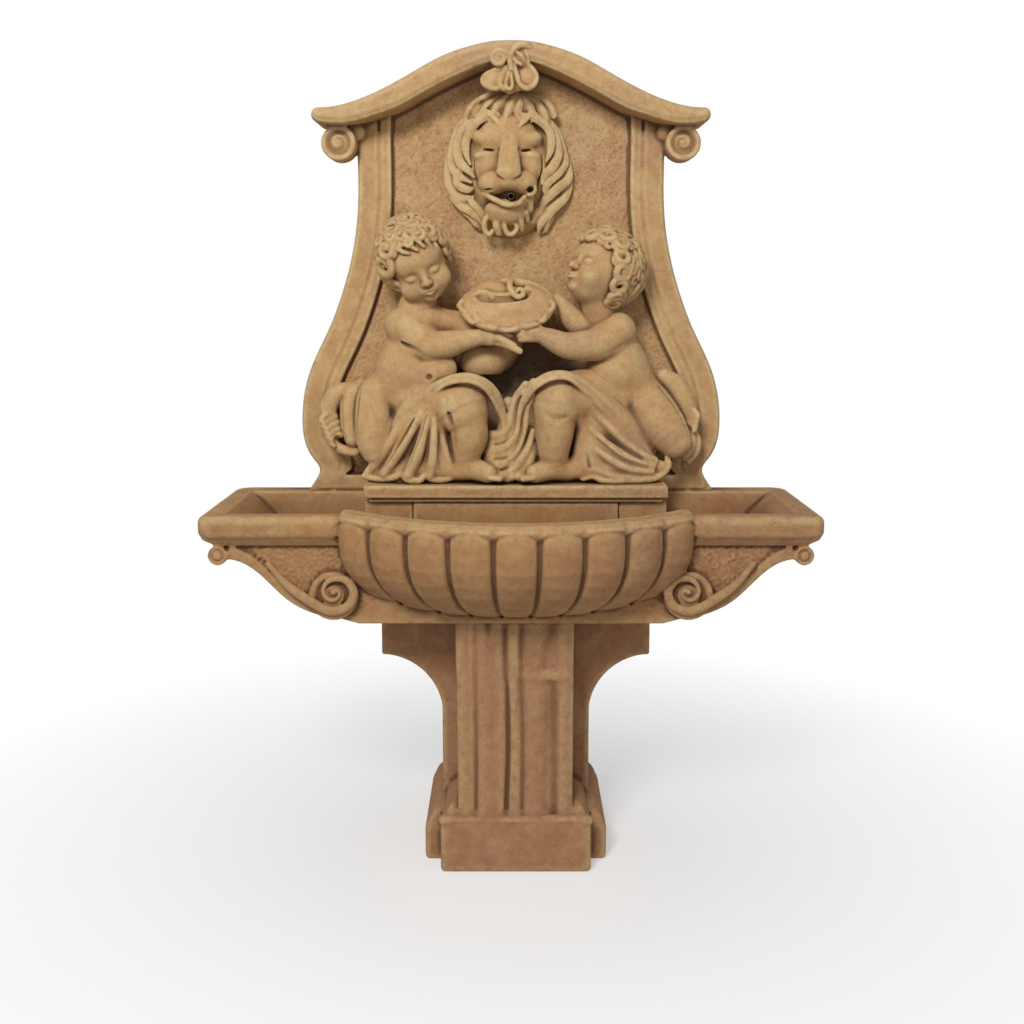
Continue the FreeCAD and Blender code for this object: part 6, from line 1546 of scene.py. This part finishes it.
def setWorld():
    world = bpy.data.worlds.new("studio")
    bpy.context.scene.world = world
    world.use_nodes = True
    tree = world.node_tree
    tree.nodes.clear()
    # eyes, mirrors and glass see white; all other light is dimmer
    path = tree.nodes.new("ShaderNodeLightPath")
    seen = path.outputs["Is Camera Ray"]
    for ray in ("Is Glossy Ray", "Is Transmission Ray"):
        seen = addNode(tree, "ShaderNodeMath", {"operation": "MAXIMUM"}, {0: seen, 1: path.outputs[ray]}).outputs[0]
    dim, white = (addNode(tree, "ShaderNodeBackground", {}, {"Color": (1, 1, 1, 1), "Strength": strength}).outputs[0]
                  for strength in (room["ambient"], 1.0))
    mix = addNode(tree, "ShaderNodeMixShader", {}, {0: seen, 1: dim, 2: white})
    addNode(tree, "ShaderNodeOutputWorld", {}, {0: mix.outputs[0]})


def setStage():
    scene = bpy.context.scene
    scene.view_settings.view_transform = "Standard"
    eye = bpy.data.objects.new("camera", bpy.data.cameras.new("camera"))
    scene.collection.objects.link(eye)
    eye.location = camera["place"]
    eye.rotation_euler = (math.radians(90 - camera["down"]), 0, 0)
    eye.data.lens = camera["lens"]
    eye.data.sensor_width = camera["sensor"]
    eye.data.shift_x = camera["shiftX"]
    eye.data.shift_y = camera["shiftY"]
    scene.camera = eye
    for name, (place, size, power) in lamps.items():
        light = bpy.data.lights.new(name, "AREA")
        light.size = size
        light.energy = power
        lamp = bpy.data.objects.new(name, light)
        scene.collection.objects.link(lamp)
        lamp.location = place
        x, y, z = np.array(room["lampAim"]) - np.array(place)
        lamp.rotation_euler = (math.atan2(math.hypot(x, y), -z), 0, math.atan2(y, x) - math.pi / 2)
    h = room["floorHalf"]
    corners = np.array([(-h, -h, 0), (h, -h, 0), (h, h, 0), (-h, h, 0)])
    floor = link("floor", meshFrom("floor", corners, np.array([[0, 1, 2, 3]])))
    f = Finish("pale_floor")
    away = f.node("ShaderNodeVectorMath", {"operation": "LENGTH"}, {0: f.place}, 1)
    f.give(Base_Color=room["floor"], Roughness=0.9,
           Alpha=away.between(room["fadeTo"], room["fadeFrom"]) * room["cover"])
    floor.data.materials.append(f.material)


setWorld()
setStage()
basin = makeBasin()
stage("basin")
panel = makePanel()
stage("panel")
pedestal = makePedestal()
riser = makeRiser()
stage("pedestal and riser")
lion = makeLion()
stage("lion")
bodies = {"left_putto": makeLeftPutto(), "right_putto": makeRightPutto()}
stage("bodies")
heads = {"left_putto": makeHead("left_putto_head", leftHead), "right_putto": makeHead("right_putto_head", rightHead)}
stage("heads")
dish = makeDish()
crown = makeCrown()
stage("dish and crown")

stone = castStone()
browner = castStone("cast_stone_pedestal", stoneLook["pedestal"])
ground = castStone("cast_stone_field", stoneLook["field"])
panelClay = next(c for c, p in clays if p is panel)
carved = (lion, dish, *bodies.values(), *heads.values())
sheets = makeStipple(panelClay, [c for c, p in clays if p in carved], ground)
near, wide, low, cell = shadeAll()
fieldShade(sheets, near, wide, low, cell)
stage("shade")

stonePieces = {"basin": [basin], "back_panel": [panel], "pedestal": [pedestal], "lion_mask": [lion],
               "shell_dish": [dish], "crown_ornament": [crown]}
stonePieces.update({node: [piece] for node, piece in riser.items()})
stonePieces.update({node: [bodies[node], heads[node]] for node in bodies})
for node, pieces in stonePieces.items():
    for piece in pieces:
        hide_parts(node)
        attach(piece, "pump_cover" if node == "pump_cover" else root)
        piece.data.materials.append(browner if node == "pedestal" else stone)
for piece in sheets:
    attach(piece, root)

slots = {part["node"]: part["material_slot"] for part in frame["record"]["subparts"]}
finishes = {name: partFinish(name) for name in partLooks}
for node, name in slots.items():
    if name in finishes:
        mesh = frame["nodes"][node].data
        mesh.materials.clear()
        mesh.materials.append(finishes[name])
stage("finishes")
